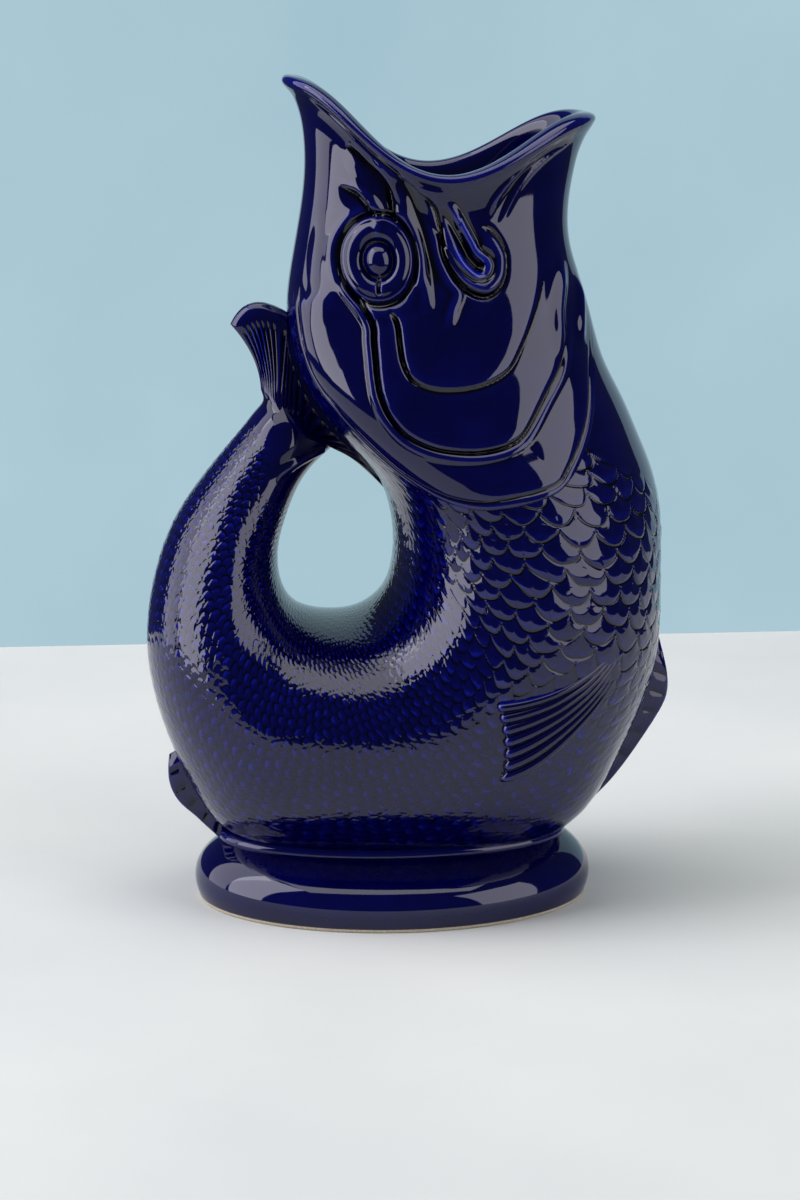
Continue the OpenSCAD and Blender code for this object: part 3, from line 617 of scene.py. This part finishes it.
def face_form(coat, normal):
    """Everything that is moulded on the head, apart from the eyes: height in mm, and tone of the glaze with painted
    shade at the foot of steps and in grooves, and a painted highlight on the hook's bead.
    """
    # the gill cover swells towards its free edge, which has a fine bead
    d, t, over = measure(coat, normal, GILL_LINE)
    lift = (1 - ease(0.86, 1, t)) * np.exp(-(over / 4)**2) * ease(-3, -1.5, d)
    total = lift * (step(d - 2.6, up=0.9, roll=3.5, fade_up=16) + 0.75 * (1 - ease(8, 20, d))
                    + bead(d, centre=1.2, half=1.5, height=0.4) + furrow(d - 2.7, depth=0.3, wide=0.5))
    # the two cheek plates, deeper cut where they stand upright below the eye, with painted shade at the foot of each
    # plate
    d, t, shown = along(coat, normal, OUTER_CHEEK, 0.04, 0.25)
    upright = 1 - ease(0.3, 0.5, t)
    total += shown * (step(d, up=1.5, roll=2.9, fade_up=13) + bead(d, centre=-2.1, half=2.0, height=0.9)
                      + furrow(d, depth=0.25 + 1.0 * upright, wide=0.6 + 0.3 * upright))
    tone = shown * gathered_glaze_and_painted_shade(d, 0.7)
    d, t, shown = along(coat, normal, INNER_CHEEK, 0.06, 0.3)
    upright = 1 - ease(0.15, 0.32, t)
    total += shown * (step(d, up=1.4, roll=3.2, fade_up=12) + furrow(d, depth=0.2 + 1.0 * upright, wide=0.8))
    tone += shown * gathered_glaze_and_painted_shade(d, 0.7)
    # the lobe at the corner of the mouth, with a hooked furrow in it; painted shade at the lip's step and in the
    # furrow, and a painted highlight on the bead round the furrow
    d, t, shown = along(coat, normal, LIP_LINE, 0.03, 0.12)
    lobe = ease(0.25, 0.55, t)
    total += shown * (step(d, up=0.9 + 1.4 * lobe, roll=2.6, fade_up=6) + furrow(d, depth=0.9, wide=0.9))
    tone += shown * gathered_glaze_and_painted_shade(d, 0.9)
    d, t, over = measure(coat, normal, HAIRPIN)
    r = np.hypot(d, over)
    hook = np.where(d > 0, 1, ease(0.55, 0.85, t))
    shown = ease(0.05, 0.5, t) * (r < 8)
    total += shown * (furrow(r, depth=1.5, wide=1.3) + hook * bead(r, centre=3.0, half=2.0, height=1.0)
                      + furrow(r - 5.2, depth=0.5, wide=0.7))
    # painted shade in the hooked furrow, and a painted highlight along the bead that curls round it
    tone += shown * (gathered_glaze_and_painted_shade(r, 1.0) + 0.35 * hook * np.exp(-((r - 3.0) / 0.9)**2))
    d, _, shown = along(coat, normal, LOWER_LIP_BORDER, 0.3, 0.4)
    total += shown * (furrow(d - 2.4, depth=0.8, wide=1.6) + bead(d, centre=0, half=1.8, height=0.4))
    # the pointed hollow and the brow above the eye, and the soft temple behind it; painted shade along the foot of the
    # hollow's and the brow's walls
    d, t, over = measure(coat, normal, LEAF)
    shown = ease(0, 0.12, t) * np.exp(-(over / 2)**2)
    total += shown * (step(d, up=0.3, down=1.9, roll=1.4, fade_up=5, fade_down=1.5 + 5 * ease(0, 0.6, t))
                      + furrow(d + 0.6, depth=0.5, wide=1.0))
    tone += shown * gathered_glaze_and_painted_shade(d + 0.5, 1.4)
    d, t, over = measure(coat, normal, BROW)
    shown = ease(0, 0.5, t) * np.exp(-(over / 2)**2)
    total += shown * (step(d, up=0.3, down=1.5, roll=1.3, fade_up=4, fade_down=6.5)
                      + furrow(d + 0.5, depth=0.5, wide=0.9) + bead(d, centre=2.6, half=2.0, height=0.5))
    tone += shown * gathered_glaze_and_painted_shade(d + 0.3, 1.1)
    d, _, shown = along(coat, normal, TEMPLE, 0.3, 0.3, reach=math.inf)
    total += shown * bead(d, centre=0, half=9.0, height=0.9)
    # ridges and the channel that run down from the lip, and folds on the throat; faint painted shade in the channel
    for line, start, end, half, height in RIDGES:
        d, _, shown = along(coat, normal, line, start, end)
        total += shown * bead(d, 0, half, height)
    d, _, shown = along(coat, normal, CHANNEL, 0.1, 0.2)
    total += shown * furrow(d, depth=0.7, wide=2.6)
    tone += 0.3 * shown * gathered_glaze_and_painted_shade(d, 2.2)
    for line in FOLDS:
        d, _, shown = along(coat, normal, line, 0.35, 0.35)
        total += shown * furrow(d, depth=-1.4, wide=2.4)
    # the groove round the eye, with painted shade in it, and the seat under it; q is the distance from the eye's edge
    # in mm
    x = (coat[..., 0] / MM - EYE_PLACE[0]) / EYE_HALF[0]
    z = (coat[..., 2] / MM - EYE_PLACE[1]) / EYE_HALF[1]
    q = (np.hypot(x, z) - 1.03) * 12.5
    socket = furrow(q, depth=1.2, wide=0.9) + furrow(q - 2.4, depth=-0.35, wide=1.6) - 1.3 * (1 - ease(-2, -0.3, q))
    sideways = ease(0.15, 0.4, np.abs(normal[..., 1]))
    return total * ease(-2.2, -0.8, q) + sideways * socket, tone + sideways * gathered_glaze_and_painted_shade(q, 1.0)


def moulded(coat, normal, weight=1.0):
    """A coat of the head with its face on it, and the glaze's tone as the fourth value."""
    height, tone = face_form(coat, normal)
    return np.concatenate([coat + normal * (height * weight * MM)[..., None], (tone * weight)[..., None]], axis=-1)


LIP_HEIGHT, LIP_FLARE = 5.5 * MM, 2.6 * MM
# The lean of the rim runs out at this station, and about 10 mm lie between two stations there
FLARE_END, STATION_MM = 1.1, 10
# How far in mm the roll swells outwards, how much more at the peak, and how far inwards there
ROLL_OUT, PEAK_OUT, PEAK_IN = 0.4, 1.5, 1.6
LIP_GROOVE = 0.8
FACE_SPLIT = 4.0
# Section of the rolled lip from the inside over the top to the outside: shares of flare, wall and height
LIP_SECTION = [[0, 0, 0], [0, 0, 0.3], [0, 0.05, 0.55], [0, 0.2, 0.85], [0.05, 0.55, 1], [0.5, 0.9, 1],
               [0.9, 1, 0.88], [1.03, 1, 0.7], [1, 1, 0.56], [0.92, 1, 0.44], [0.86, 1, 0.34], [0.82, 1, 0.22],
               [0.75, 1, 0.11], [0.7, 1, 0]]


def peak(a):
    """1 at the back, where the upper lip has its peak, and 0 along the sides."""
    return 1 - ease(188, 228, fold(a))


def lip_flare(a):
    """How far the lip leans out, which is less at the peak."""
    return LIP_FLARE * (1 - 0.6 * peak(a))


def rim_relief(height, a):
    """Relief in mm outside the rim, by height in mm above it: the roll's belly, and the groove under the upper lip."""
    groove = LIP_GROOVE * (1 - ease(250, 275, fold(a))) * (1 - peak(a))
    swelling = ROLL_OUT + PEAK_OUT * peak(a)
    return swelling * np.exp(-((height - 2.4) / 2.7)**2) - groove * np.exp(-((height - 0.4) / 1.1)**2)


def rim(a):
    """Places of the rim inside the wall, the way out from there, and the wall."""
    within = skin(0, a, -WALL)
    out = skin(0, a) - within
    wall = np.linalg.norm(out, axis=1, keepdims=True)
    return within, out / wall, wall


def mouth_flare(u, a):
    """The rim's outward lean below the rolled lip, with the lower part of the rim's relief."""
    lean = np.clip(1 - u / FLARE_END, 0, 1)**2 * lip_flare(a) * LIP_SECTION[-1][0]
    return rim(a)[1] * (lean + MM * rim_relief(-STATION_MM * u, a))[..., None]


cols = 560
a = angles(cols)
within, out, wall = rim(a)
up = unit(skin(0, a) - skin(0.25, a))
section = evenly(LIP_SECTION, 30)[:-1]
lip = []
for f, w, h in section:
    relief = w * w * rim_relief(h * LIP_HEIGHT / MM, a)
    relief -= PEAK_IN * peak(a) * (1 - ease(0.1, 0.5, w)) * math.sin(math.pi * np.clip((h - 0.2) / 0.8, 0, 1))**2
    lip.append(within + out * (lip_flare(a) * f + MM * relief)[:, None] + out * wall * w + up * LIP_HEIGHT * h)
u = np.concatenate([np.linspace(0, FACE_SPLIT, 118), [FACE_SPLIT + 0.034]])[:, None]
outside = skin(u, a) + mouth_flare(u, a)
coat = np.concatenate([lip, outside])
normal = facing(coat)
# the face's relief runs out on the rolled lip
weight = np.concatenate([ease(0.45, 0.0, section[:, 2]), np.ones(len(outside))])[:, None]
coat = moulded(coat, normal, weight)
inner = inner_coat(0.0, FACE_SPLIT, 26, cols)
spare_row = np.concatenate([inner[-3:-2], coat[:1, :, 3:]], axis=-1)
cast("face", [np.concatenate([spare_row, coat]), inner[:-1]],
     ["head_shell", "upper_lip", "lower_lip", "cheek_fold_left", "cheek_fold_right", "jaw_lobe_left",
      "jaw_lobe_right"], glaze)

cols = 600
a = angles(cols)
edge = gill_edge(a)
u = FACE_SPLIT + (edge - FACE_SPLIT) * dense(0, 1, 140)[:, None]
outside = skin(u, a)
normal = facing(outside)
outside = moulded(outside, normal)

# the free edge rolls under and is tucked below the scales, and runs out at the throat and the back
EDGE_ROLL, EDGE_TUCK = 1.0, 3.0 * MM
last, down = outside[-2, :, :3], normal[-2]
ahead = unit(skin(edge + 0.1, a) - skin(edge, a))
roll = (0.05 + EDGE_ROLL * (1 - ease(310, 340, fold(a))) * ease(182, 200, fold(a)))[:, None] * MM
turn = np.linspace(0, math.pi / 2, 8)[1:, None, None]
under = last + ahead * roll * np.sin(turn) - down * EDGE_TUCK * (1 - np.cos(turn))
cast("cheeks", [outside, spare(under), inner_coat(FACE_SPLIT, edge - 0.4, 12, cols)],
     ["head_shell", "gill_cover_left", "gill_cover_right", "cheek_fold_left", "cheek_fold_right"], glaze)

# ---- Eyes ----
# A lid ring round a groove and a domed eyeball, moulded with the head and set
# in the groove round them. Their glaze is the jug's.

# Height of the eye from its middle outward: share of the radius, mm above the cheek
EYE_SECTION = [[0, 2.5], [0.12, 2.25], [0.24, 1.5], [0.33, 0.5], [0.38, -0.2], [0.42, -0.4], [0.46, 0.2], [0.52, 1.2],
               [0.6, 1.85], [0.68, 2.05], [0.76, 1.85], [0.82, 1.45], [0.86, 1.2], [0.9, 1.15], [0.94, 0.85],
               [0.97, 0.1], [1.0, -1.3]]
EYE_STATION, EYE_ANGLE = 2.88, 244.0
EYE_SEAT = 2.0 * MM
# The lid ring has a cleft below and a bridge to the brow above: aside from the middle, half widths and heights, in mm
CLEFT_ASIDE, CLEFT_HALF, CLEFT_DEPTH = 0.3, 0.55, 1.3
BRIDGE_HALF, BRIDGE_HEIGHT = 1.3, 0.5


def spot(x, z):
    """Station and angle on the right side of places (x, z) near the eye, in mm, found step by step."""
    u, a = np.full(x.shape, EYE_STATION), np.full(x.shape, EYE_ANGLE)
    for _ in range(8):
        here = skin(u, a)
        along = (skin(u + 0.01, a) - here) / 0.01
        around = (skin(u, a + 0.2) - here) / 0.2
        dx, dz = x * MM - here[..., 0], z * MM - here[..., 2]
        area = along[..., 0] * around[..., 2] - around[..., 0] * along[..., 2]
        u = u + np.clip((dx * around[..., 2] - around[..., 0] * dz) / area, -0.5, 0.5)
        a = a + np.clip((along[..., 0] * dz - dx * along[..., 2]) / area, -10, 10)
    return u, a


ring_share = np.linspace(0, 1, 90)[:, None]
heights = evenly(EYE_SECTION, 400)
heights = np.interp(ring_share, heights[:, 0], heights[:, 1])
turns = np.radians(angles(150))
x = EYE_PLACE[0] + EYE_HALF[0] * ring_share * np.cos(turns)
z = EYE_PLACE[1] + EYE_HALF[1] * ring_share * np.sin(turns)
u, angle = spot(x, z)
base = skin(u, angle)
normal = unit(np.cross(skin(u + 0.01, angle) - base, skin(u, angle + 0.2) - base))
on_ring = ease(0.42, 0.52, ring_share) * (1 - ease(0.75, 0.85, ring_share))
on_lid = ease(0.35, 0.5, ring_share) * (1 - ease(0.85, 0.95, ring_share))
aside = x - EYE_PLACE[0] - CLEFT_ASIDE
cleft = furrow(aside, CLEFT_DEPTH, CLEFT_HALF) * (z < EYE_PLACE[1]) * on_ring
bridge = furrow(aside, -BRIDGE_HEIGHT, BRIDGE_HALF) * (z > EYE_PLACE[1]) * on_lid
top = base + normal * ((heights + cleft + bridge) * MM)[..., None]
bottom = base - normal * EYE_SEAT
for side, y_sign in (("right", 1), ("left", -1)):
    coat = np.concatenate([top[:1], top, bottom[::-1], bottom[:1]]) * (1, y_sign, 1)
    cast("eye_of_" + side, [coat], ["eye_" + side], glaze, closed=False)

# ---- Tail fin ----
# Two lobes fanned from the end of the tail: the upper one stands free at its
# tip, the lower one lies along the back. Rounded rays run from the root to a
# smooth border.

FIN_MIDDLE = np.array([[-0.078, 0.550], [-0.124, 0.570], [-0.182, 0.600], [-0.216, 0.655], [-0.240, 0.660]]) * (
    LENGTH, HEIGHT)
FIN_CREST = np.array([-0.275, 0.752]) * (LENGTH, HEIGHT)
FIN_TIP = np.array([-0.308, 0.708]) * (LENGTH, HEIGHT)
FIN_THICK, RAY_DEPTH = 9 * MM, 0.8 * MM
# Share of the fin that lies along the back, and the stations there of its low end and its top
ATTACHED, FIN_LOW, FIN_TOP = 0.75, 10, 5.2
# Rays counted from the low end of the fin, by share
RAY_PLACES, RAY_COUNTS = [0, 0.1, 0.35, 0.6, 0.8, 1], [0, 1, 5, 9, 13, 20]


def tail_fin(t, a):
    """Places on the tail fin: share t of the way out, and angle a round the tail that carries it."""
    t, a = np.broadcast_arrays(t, a)
    sine = np.sin(np.radians(a))
    s = (1 + np.cos(np.radians(a))) / 2
    root = skin(TAIL_TIP, a)
    free = ease(ATTACHED - 0.1, ATTACHED + 0.05, s)
    rounding = 1 - free * (1 - np.sqrt(np.clip(1 - np.clip((t - 0.9) / 0.1, 0, 1)**2, 0, 1)))
    slab = np.sign(sine) * np.abs(sine)**0.4 * FIN_THICK / 2
    ray = np.abs(np.sin(math.pi * np.interp(s, RAY_PLACES, RAY_COUNTS)))**0.9
    shown = ease(0.12, 0.4, t) * (1 - ease(0.8, 0.88, t)) * ease(0.1, 0.35, np.abs(sine))
    groove = np.sign(sine) * RAY_DEPTH * (1 - ray) * shown
    y = root[..., 1] * (1 - t)**2 + (slab - groove) * (1 - (1 - t)**2) * rounding
    middle = smooth(FIN_MIDDLE, s * (len(FIN_MIDDLE) - 1))
    u = FIN_LOW + (FIN_TOP - FIN_LOW) * np.minimum(s / ATTACHED, 1)
    half = smooth(STATIONS, u)[..., 4]
    on_back = skin(u, 180 - np.degrees(np.arcsin(np.clip(y / half, -1, 1))))[..., ::2]
    along = np.clip((s - ATTACHED) / (1 - ATTACHED), 0, 1)[..., None]
    start = skin(FIN_TOP, 180)[::2]
    edge = start * (1 - along)**2 + FIN_CREST * 2 * along * (1 - along) + FIN_TIP * along**2
    end = np.where(along > 0, edge, on_back)
    t = t[..., None]
    side = root[..., ::2] * (1 - t)**2 + middle * 2 * t * (1 - t) + end * t**2
    place = np.stack([side[..., 0], y, side[..., 1]], axis=-1)
    # near its root the fin runs on in the direction of the tail
    onward = (root - skin(TAIL_TIP - 0.1, a)) / 0.1
    onward = root + onward * (np.linalg.norm(middle - root[..., ::2], axis=-1, keepdims=True)
                              / np.linalg.norm(onward, axis=-1, keepdims=True)) * 2 * t
    return place + (onward - place) * (1 - ease(0, 0.22, t))


cols = 420
a = angles(cols)
t = np.concatenate([[-0.01], np.linspace(0, 0.9, 120), np.linspace(0.9, 1, 24)[1:]])[:, None]
fin = tail_fin(t, a)
normal = facing(fin)
fin = fin + normal * (swell(fin, *TAIL_PAD) * (1 - ease(0.9, 0.99, t)) * MM)[..., None]
# where the fin lies along the back, its last row is sunk into it
buried = fin[-1] + [1.5 * MM, 0, -1.5 * MM]
buried[:, 1] = 0
on_edge = (1 + np.cos(np.radians(a))) / 2 > ATTACHED
buried[on_edge] = fin[-1, on_edge]
cast("tail_fin", [spare(closing(fin[1])[::-1][:-1]), np.concatenate([fin, buried[None], buried[None]])],
     ["tail_fin_upper", "tail_fin_lower"], glaze, closed=False)

# ---- Belly fin and anal fin ----
# Thin fins on the middle line, cast with the body. Ribs run square to the free
# edge, and the fins thin towards it.

# Station of the root, and x and z of the free edge as shares of the jug's length and height
BELLY_FIN = [[12.3, 0.523, 0.320], [12.5, 0.535, 0.292], [12.8, 0.545, 0.265], [13.1, 0.544, 0.241],
             [13.4, 0.527, 0.220], [13.7, 0.499, 0.192], [14.0, 0.468, 0.163], [14.3, 0.436, 0.136],
             [14.6, 0.395, 0.110], [14.85, 0.350, 0.090]]
ANAL_FIN = [[18.55, -0.437, 0.180], [18.4, -0.441, 0.160], [18.2, -0.437, 0.138], [18.0, -0.418, 0.117],
            [17.8, -0.391, 0.104], [17.62, -0.367, 0.088], [17.5, -0.344, 0.074], [17.4, -0.322, 0.062]]

ROOT_SUNK = 2.0 * MM


def keel_fin(name, node, table, thick, ribs, rib_depth, count):
    """A thin fin on the middle line: rows run along it, and columns go round its section."""
    share = np.linspace(0, 1, count)
    rows = evenly(table, count)
    turn = np.linspace(0, 2 * math.pi, 72, endpoint=False)
    out = (1 - np.cos(turn)) / 2
    side = np.sign(np.sin(turn)) * np.abs(np.sin(turn))**0.55
    ends = np.minimum(1, 2 * np.sin(math.pi * share) + 0.3)[:, None]
    rib = rib_depth * (1 - np.abs(np.sin(math.pi * ribs * share[:, None]))**0.8) * ease(0.2, 0.5, out) * (
        1 - ease(0.8, 0.97, out))
    y = side * (thick / 2 * ends * (1 - 0.5 * out) - rib)
    root = skin(rows[:, 0], 0.0, -ROOT_SUNK)
    edge = rows[:, 1:] * (LENGTH, HEIGHT)
    x = root[:, :1] + (edge[:, :1] - root[:, :1]) * out
    z = root[:, 2:] + (edge[:, 1:] - root[:, 2:]) * out
    fin = np.stack([x, y, z], axis=-1)
    cast(name, [spare(np.concatenate([closing(fin[0])[::-1][:-1], fin, closing(fin[-1])[1:]]))], [node], glaze,
         closed=False)


keel_fin("belly_fin_ribbed", "belly_fin", BELLY_FIN, 8 * MM, 9, 0.6 * MM, 220)
keel_fin("anal_fin_ribbed", "anal_fin", ANAL_FIN, 7 * MM, 6, 0.7 * MM, 150)

# ---- Side fins ----
# Seven rounded rays fan back from the root and stand highest at the free edge.
# They are moulded in relief on the belly.

# Stations and angles along the upper and the lower ray, from the free edge to the root
SIDE_FIN_TOP = [[13.9, 260], [13.6, 269], [13.25, 279], [12.85, 289], [12.4, 299], [11.9, 309]]
SIDE_FIN_LOW = [[15.0, 283], [14.5, 289], [14.0, 295], [13.4, 301], [12.7, 307], [12.0, 313]]
SIDE_FIN_RISE, SIDE_FIN_RAYS, SIDE_FIN_SUNK = 3.0 * MM, 7, 1.2 * MM
t = np.linspace(0, 1, 150)[:, None]
v = np.concatenate([np.linspace(0, 1, 170), np.linspace(1, 0, 24)[1:-1]])[None, :]
top_side = np.arange(v.shape[1])[None, :] < 170
one = evenly(SIDE_FIN_TOP, len(t))[:, None]
two = evenly(SIDE_FIN_LOW, len(t))[:, None]
place = one + (two - one) * v[..., None]
ray = np.abs(np.sin(math.pi * SIDE_FIN_RAYS * v))**0.7
scallop = 0.012 + 0.02 * (1 - ray)
front = np.sqrt(np.clip(1 - (1 - np.clip((t - scallop) / 0.045, 0, 1))**2, 0, 1))
rise = SIDE_FIN_RISE * (1 - t) * (0.4 + 0.6 * ray) * front * (1 - ease(0.8, 1, t))
brim = np.sqrt(np.clip(1 - np.clip((np.abs(2 * v - 1) - 0.94) / 0.06, 0, 1)**2, 0, 1))
lift = np.where(top_side, rise * brim - 0.45 * MM, -SIDE_FIN_SUNK)
lift[0] = lift[-1] = -SIDE_FIN_SUNK
# the rays are painted lighter and the grooves between them darker: a painted highlight on each ray and painted shade
# between them
tone = np.where(top_side, 0.5 * (ray - 0.6) * ease(0, 0.1, t), 0)
fin = np.concatenate([skin(place[..., 0], place[..., 1], lift), tone[..., None]], axis=-1)
for side, y_sign in (("right", 1), ("left", -1)):
    cast("side_fin_" + side, [spare(fin) * (1, y_sign, 1, 1)], ["pectoral_fin_" + side], glaze, closed=False)

# ---- Foot ----
# A hollow oval plinth with a soft round side, glazed down to a narrow ring on
# which it stands: there the glaze is wiped off and the bare clay shows.
# A thin bead runs round its top, where the body was joined on.

FOOT_LENGTH, FOOT_WIDTH, FOOT_WALL, RING_HEIGHT = 136 * MM, 99 * MM, 6.2 * MM, 1.2 * MM
# Section from the ring up to the body: shares of half the length, half the width and the height; then of the wall
FOOT_OUTSIDE = [[0.978, 0.970, 0], [0.994, 0.992, 0.15], [1, 1, 0.34], [0.984, 0.962, 0.56], [0.940, 0.860, 0.76],
                [0.894, 0.742, 0.89], [0.866, 0.660, 0.96], [0.846, 0.600, 1]]
FOOT_INSIDE = [[1, 1, 1], [0.99, 0.98, 0.72], [1, 1, 0.34], [1, 1, 0]]


def oval(half_x, half_y, z, count=240):
    """A row of places on an oval round the middle of the foot."""
    turn = np.radians(angles(count))
    return np.stack([half_x * np.cos(turn), half_y * np.sin(turn), np.full(count, z)], axis=-1)


def oval_ring(name, rows, node, material):
    """A ring from ovals that go once round its section."""
    cast(name, [np.array(rows[-1:] + rows + rows[:1])], [node], material)


foot_outside = evenly(FOOT_OUTSIDE, 60)
foot_inside = evenly(FOOT_INSIDE, 24)
rows = [oval(x * FOOT_LENGTH / 2, y * FOOT_WIDTH / 2, RING_HEIGHT + (FOOT_TOP - RING_HEIGHT) * h)
        for x, y, h in foot_outside]
for x, y, h in foot_inside:
    at_x, at_y = (np.interp(h, foot_outside[:, 2], foot_outside[:, i]) for i in (0, 1))
    rows.append(oval(at_x * FOOT_LENGTH / 2 - x * FOOT_WALL, at_y * FOOT_WIDTH / 2 - y * FOOT_WALL,
                     RING_HEIGHT + (FOOT_TOP - RING_HEIGHT) * h))
oval_ring("foot_glazed", rows, "foot", glaze)

BEAD_RADIUS, BEAD_Z = 2.2 * MM, FOOT_TOP - 0.3 * MM
BEAD_X, BEAD_Y = 0.842 * FOOT_LENGTH / 2, 0.605 * FOOT_WIDTH / 2
turns = np.radians(angles(32))
oval_ring("foot_bead", [oval(BEAD_X + BEAD_RADIUS * math.cos(t), BEAD_Y + BEAD_RADIUS * math.cos(t),
                             BEAD_Z + BEAD_RADIUS * math.sin(t)) for t in turns], "foot", glaze)


def clay_material():
    """Bare fired earthenware, wiped with a sponge: warm pale and matt, with a fine grain.

    The grain is drawn 0.6 mm wide, coarser than the real one, so that it shows.
    """
    material, tree, where = blank_material("bare_fired_earthenware")
    grain = add_node(tree, "TexNoise", Vector=where, Scale=1 / (0.6 * MM), Detail=4.0).outputs["Fac"]
    colour = ramp(tree, grain, (0.3, "#a89a80"), (0.7, "#cfc4ae"))
    bump = add_node(tree, "Bump", Height=grain, Strength=0.4, Distance=0.1 * MM).outputs["Normal"]
    shader = add_node(tree, "BsdfPrincipled", Base_Color=colour, Roughness=0.8, Normal=bump)
    add_node(tree, "OutputMaterial", Surface=shader.outputs[0])
    return material


clay = clay_material()
half_x, half_y = FOOT_OUTSIDE[0][0] * FOOT_LENGTH / 2, FOOT_OUTSIDE[0][1] * FOOT_WIDTH / 2
# Section of the ring with its lower corners taken off: mm inwards from the foot's side, share of the height
RING_WIDTH, CORNER = FOOT_WALL / MM, 0.5
ring_section = [(-CORNER, 0), (0, 0.35), (0, 1), (-RING_WIDTH, 1), (-RING_WIDTH, 0.35), (CORNER - RING_WIDTH, 0)]
rows = []
for (in_a, h_a), (in_b, h_b) in zip(ring_section, ring_section[1:] + ring_section[:1]):
    for k in np.linspace(0, 1, 5)[:-1]:
        inward = (in_a + (in_b - in_a) * k) * MM
        rows.append(oval(half_x + inward, half_y + inward, (h_a + (h_b - h_a) * k) * RING_HEIGHT))
oval_ring("foot_ring_bare", rows, "foot_ring", clay)

# ---- Studio ----
# A pale table top, a pale backdrop behind it, and soft lamps to both sides of
# the camera, which show in the glaze as crisp pale patches.


def pale_material(name, low, high, even=False):
    """A matt pale surface with faint clouds; an even one looks the same however the lamps fall on it."""
    material, tree, where = blank_material(name)
    cloud_size = 400 * MM if even else 200 * MM
    cloud = add_node(tree, "TexNoise", Vector=where, Scale=1 / cloud_size, Detail=5.0).outputs["Fac"]
    colour = ramp(tree, cloud, (0.2, low), (0.8, high))
    surface = add_node(tree, "BsdfPrincipled", Base_Color=colour, Roughness=0.9, Specular_IOR_Level=0.1).outputs[0]
    if even:
        ray = add_node(tree, "LightPath").outputs
        seen = ray["Is Camera Ray"]
        for kind in ("Is Glossy Ray", "Is Transmission Ray"):
            seen = add_node(tree, "Math", {"operation": "MAXIMUM"}, _0=seen, _1=ray[kind]).outputs[0]
        glow = add_node(tree, "Emission", Color=colour, Strength=1.0).outputs[0]
        surface = add_node(tree, "MixShader", _0=seen, _1=surface, _2=glow).outputs[0]
    add_node(tree, "OutputMaterial", Surface=surface)
    return material


def sheet(name, corner, along, up, material):
    """A flat stage sheet from one corner and its two sides."""
    bm = bmesh.new()
    bmesh.ops.create_grid(bm, x_segments=1, y_segments=1, size=0.5)
    for vert in bm.verts:
        vert.co = Vector(corner) + Vector(along) * (vert.co.x + 0.5) + Vector(up) * (vert.co.y + 0.5)
    mesh = bpy.data.meshes.new(name)
    bm.to_mesh(mesh)
    bm.free()
    mesh.materials.append(material)
    piece = bpy.data.objects.new(name, mesh)
    bpy.context.collection.objects.link(piece)


TABLE_BACK, TABLE_FRONT, TABLE_HALF = 0.38, -0.5, 0.55
BACKDROP_CORNER, BACKDROP_WIDTH, BACKDROP_HEIGHT = (-0.5, 1.6, -1.0), 2.5, 3.0
sheet("table_top", (-TABLE_HALF, TABLE_FRONT, 0), (2 * TABLE_HALF, 0, 0), (0, TABLE_BACK - TABLE_FRONT, 0),
      pale_material("matt_pale_table", "#cdd1cc", "#e0e2db"))
sheet("backdrop", BACKDROP_CORNER, (BACKDROP_WIDTH, 0, 0), (0, 0, BACKDROP_HEIGHT),
      pale_material("matt_pale_blue_backdrop", "#9fbfcd", "#b4d0da", even=True))
JUG_MIDDLE = Vector((0, 0, 0.13))


def lamp(name, azimuth, distance, height, size, radiance, colour):
    """A soft lamp that faces the jug, at an azimuth in degrees to the right of the camera's side."""
    light = bpy.data.lights.new(name, "AREA")
    light.shape = "RECTANGLE"
    light.size, light.size_y = size
    light.energy = radiance * math.pi * size[0] * size[1]
    light.color = rgb(colour)[:3]
    lamp_object = bpy.data.objects.new(name, light)
    bpy.context.collection.objects.link(lamp_object)
    turn = math.radians(azimuth)
    place = Vector((distance * math.sin(turn), -distance * math.cos(turn), height))
    lamp_object.location = place
    lamp_object.rotation_euler = (JUG_MIDDLE - place).to_track_quat("-Z", "Y").to_euler()


# Name, azimuth in degrees, distance and height in m, width and length of the lamp in m, radiance, colour
for row in (("softbox_left", -79, 2.4, 1.2, (1.44, 3.68), 4.4, "#f4f2ff"),
            ("softbox_rear", -109, 2.48, 1.2, (1.28, 3.68), 2.2, "#f4f2ff"),
            ("softbox_right", 55, 2.4, 0.96, (1.6, 2.56), 2.6, "#f4f2ff"),
            ("softbox_top", 0, 0.02, 1.9, (2.0, 1.7), 2.3, "#ffffff")):
    lamp(*row)

world = bpy.data.worlds.new("studio_air")
bpy.context.scene.world = world
world.use_nodes = True
tree = world.node_tree
tree.nodes.clear()
air = add_node(tree, "Background", Color=rgb("#5a6270"), Strength=0.4)
add_node(tree, "OutputWorld", Surface=air.outputs[0])
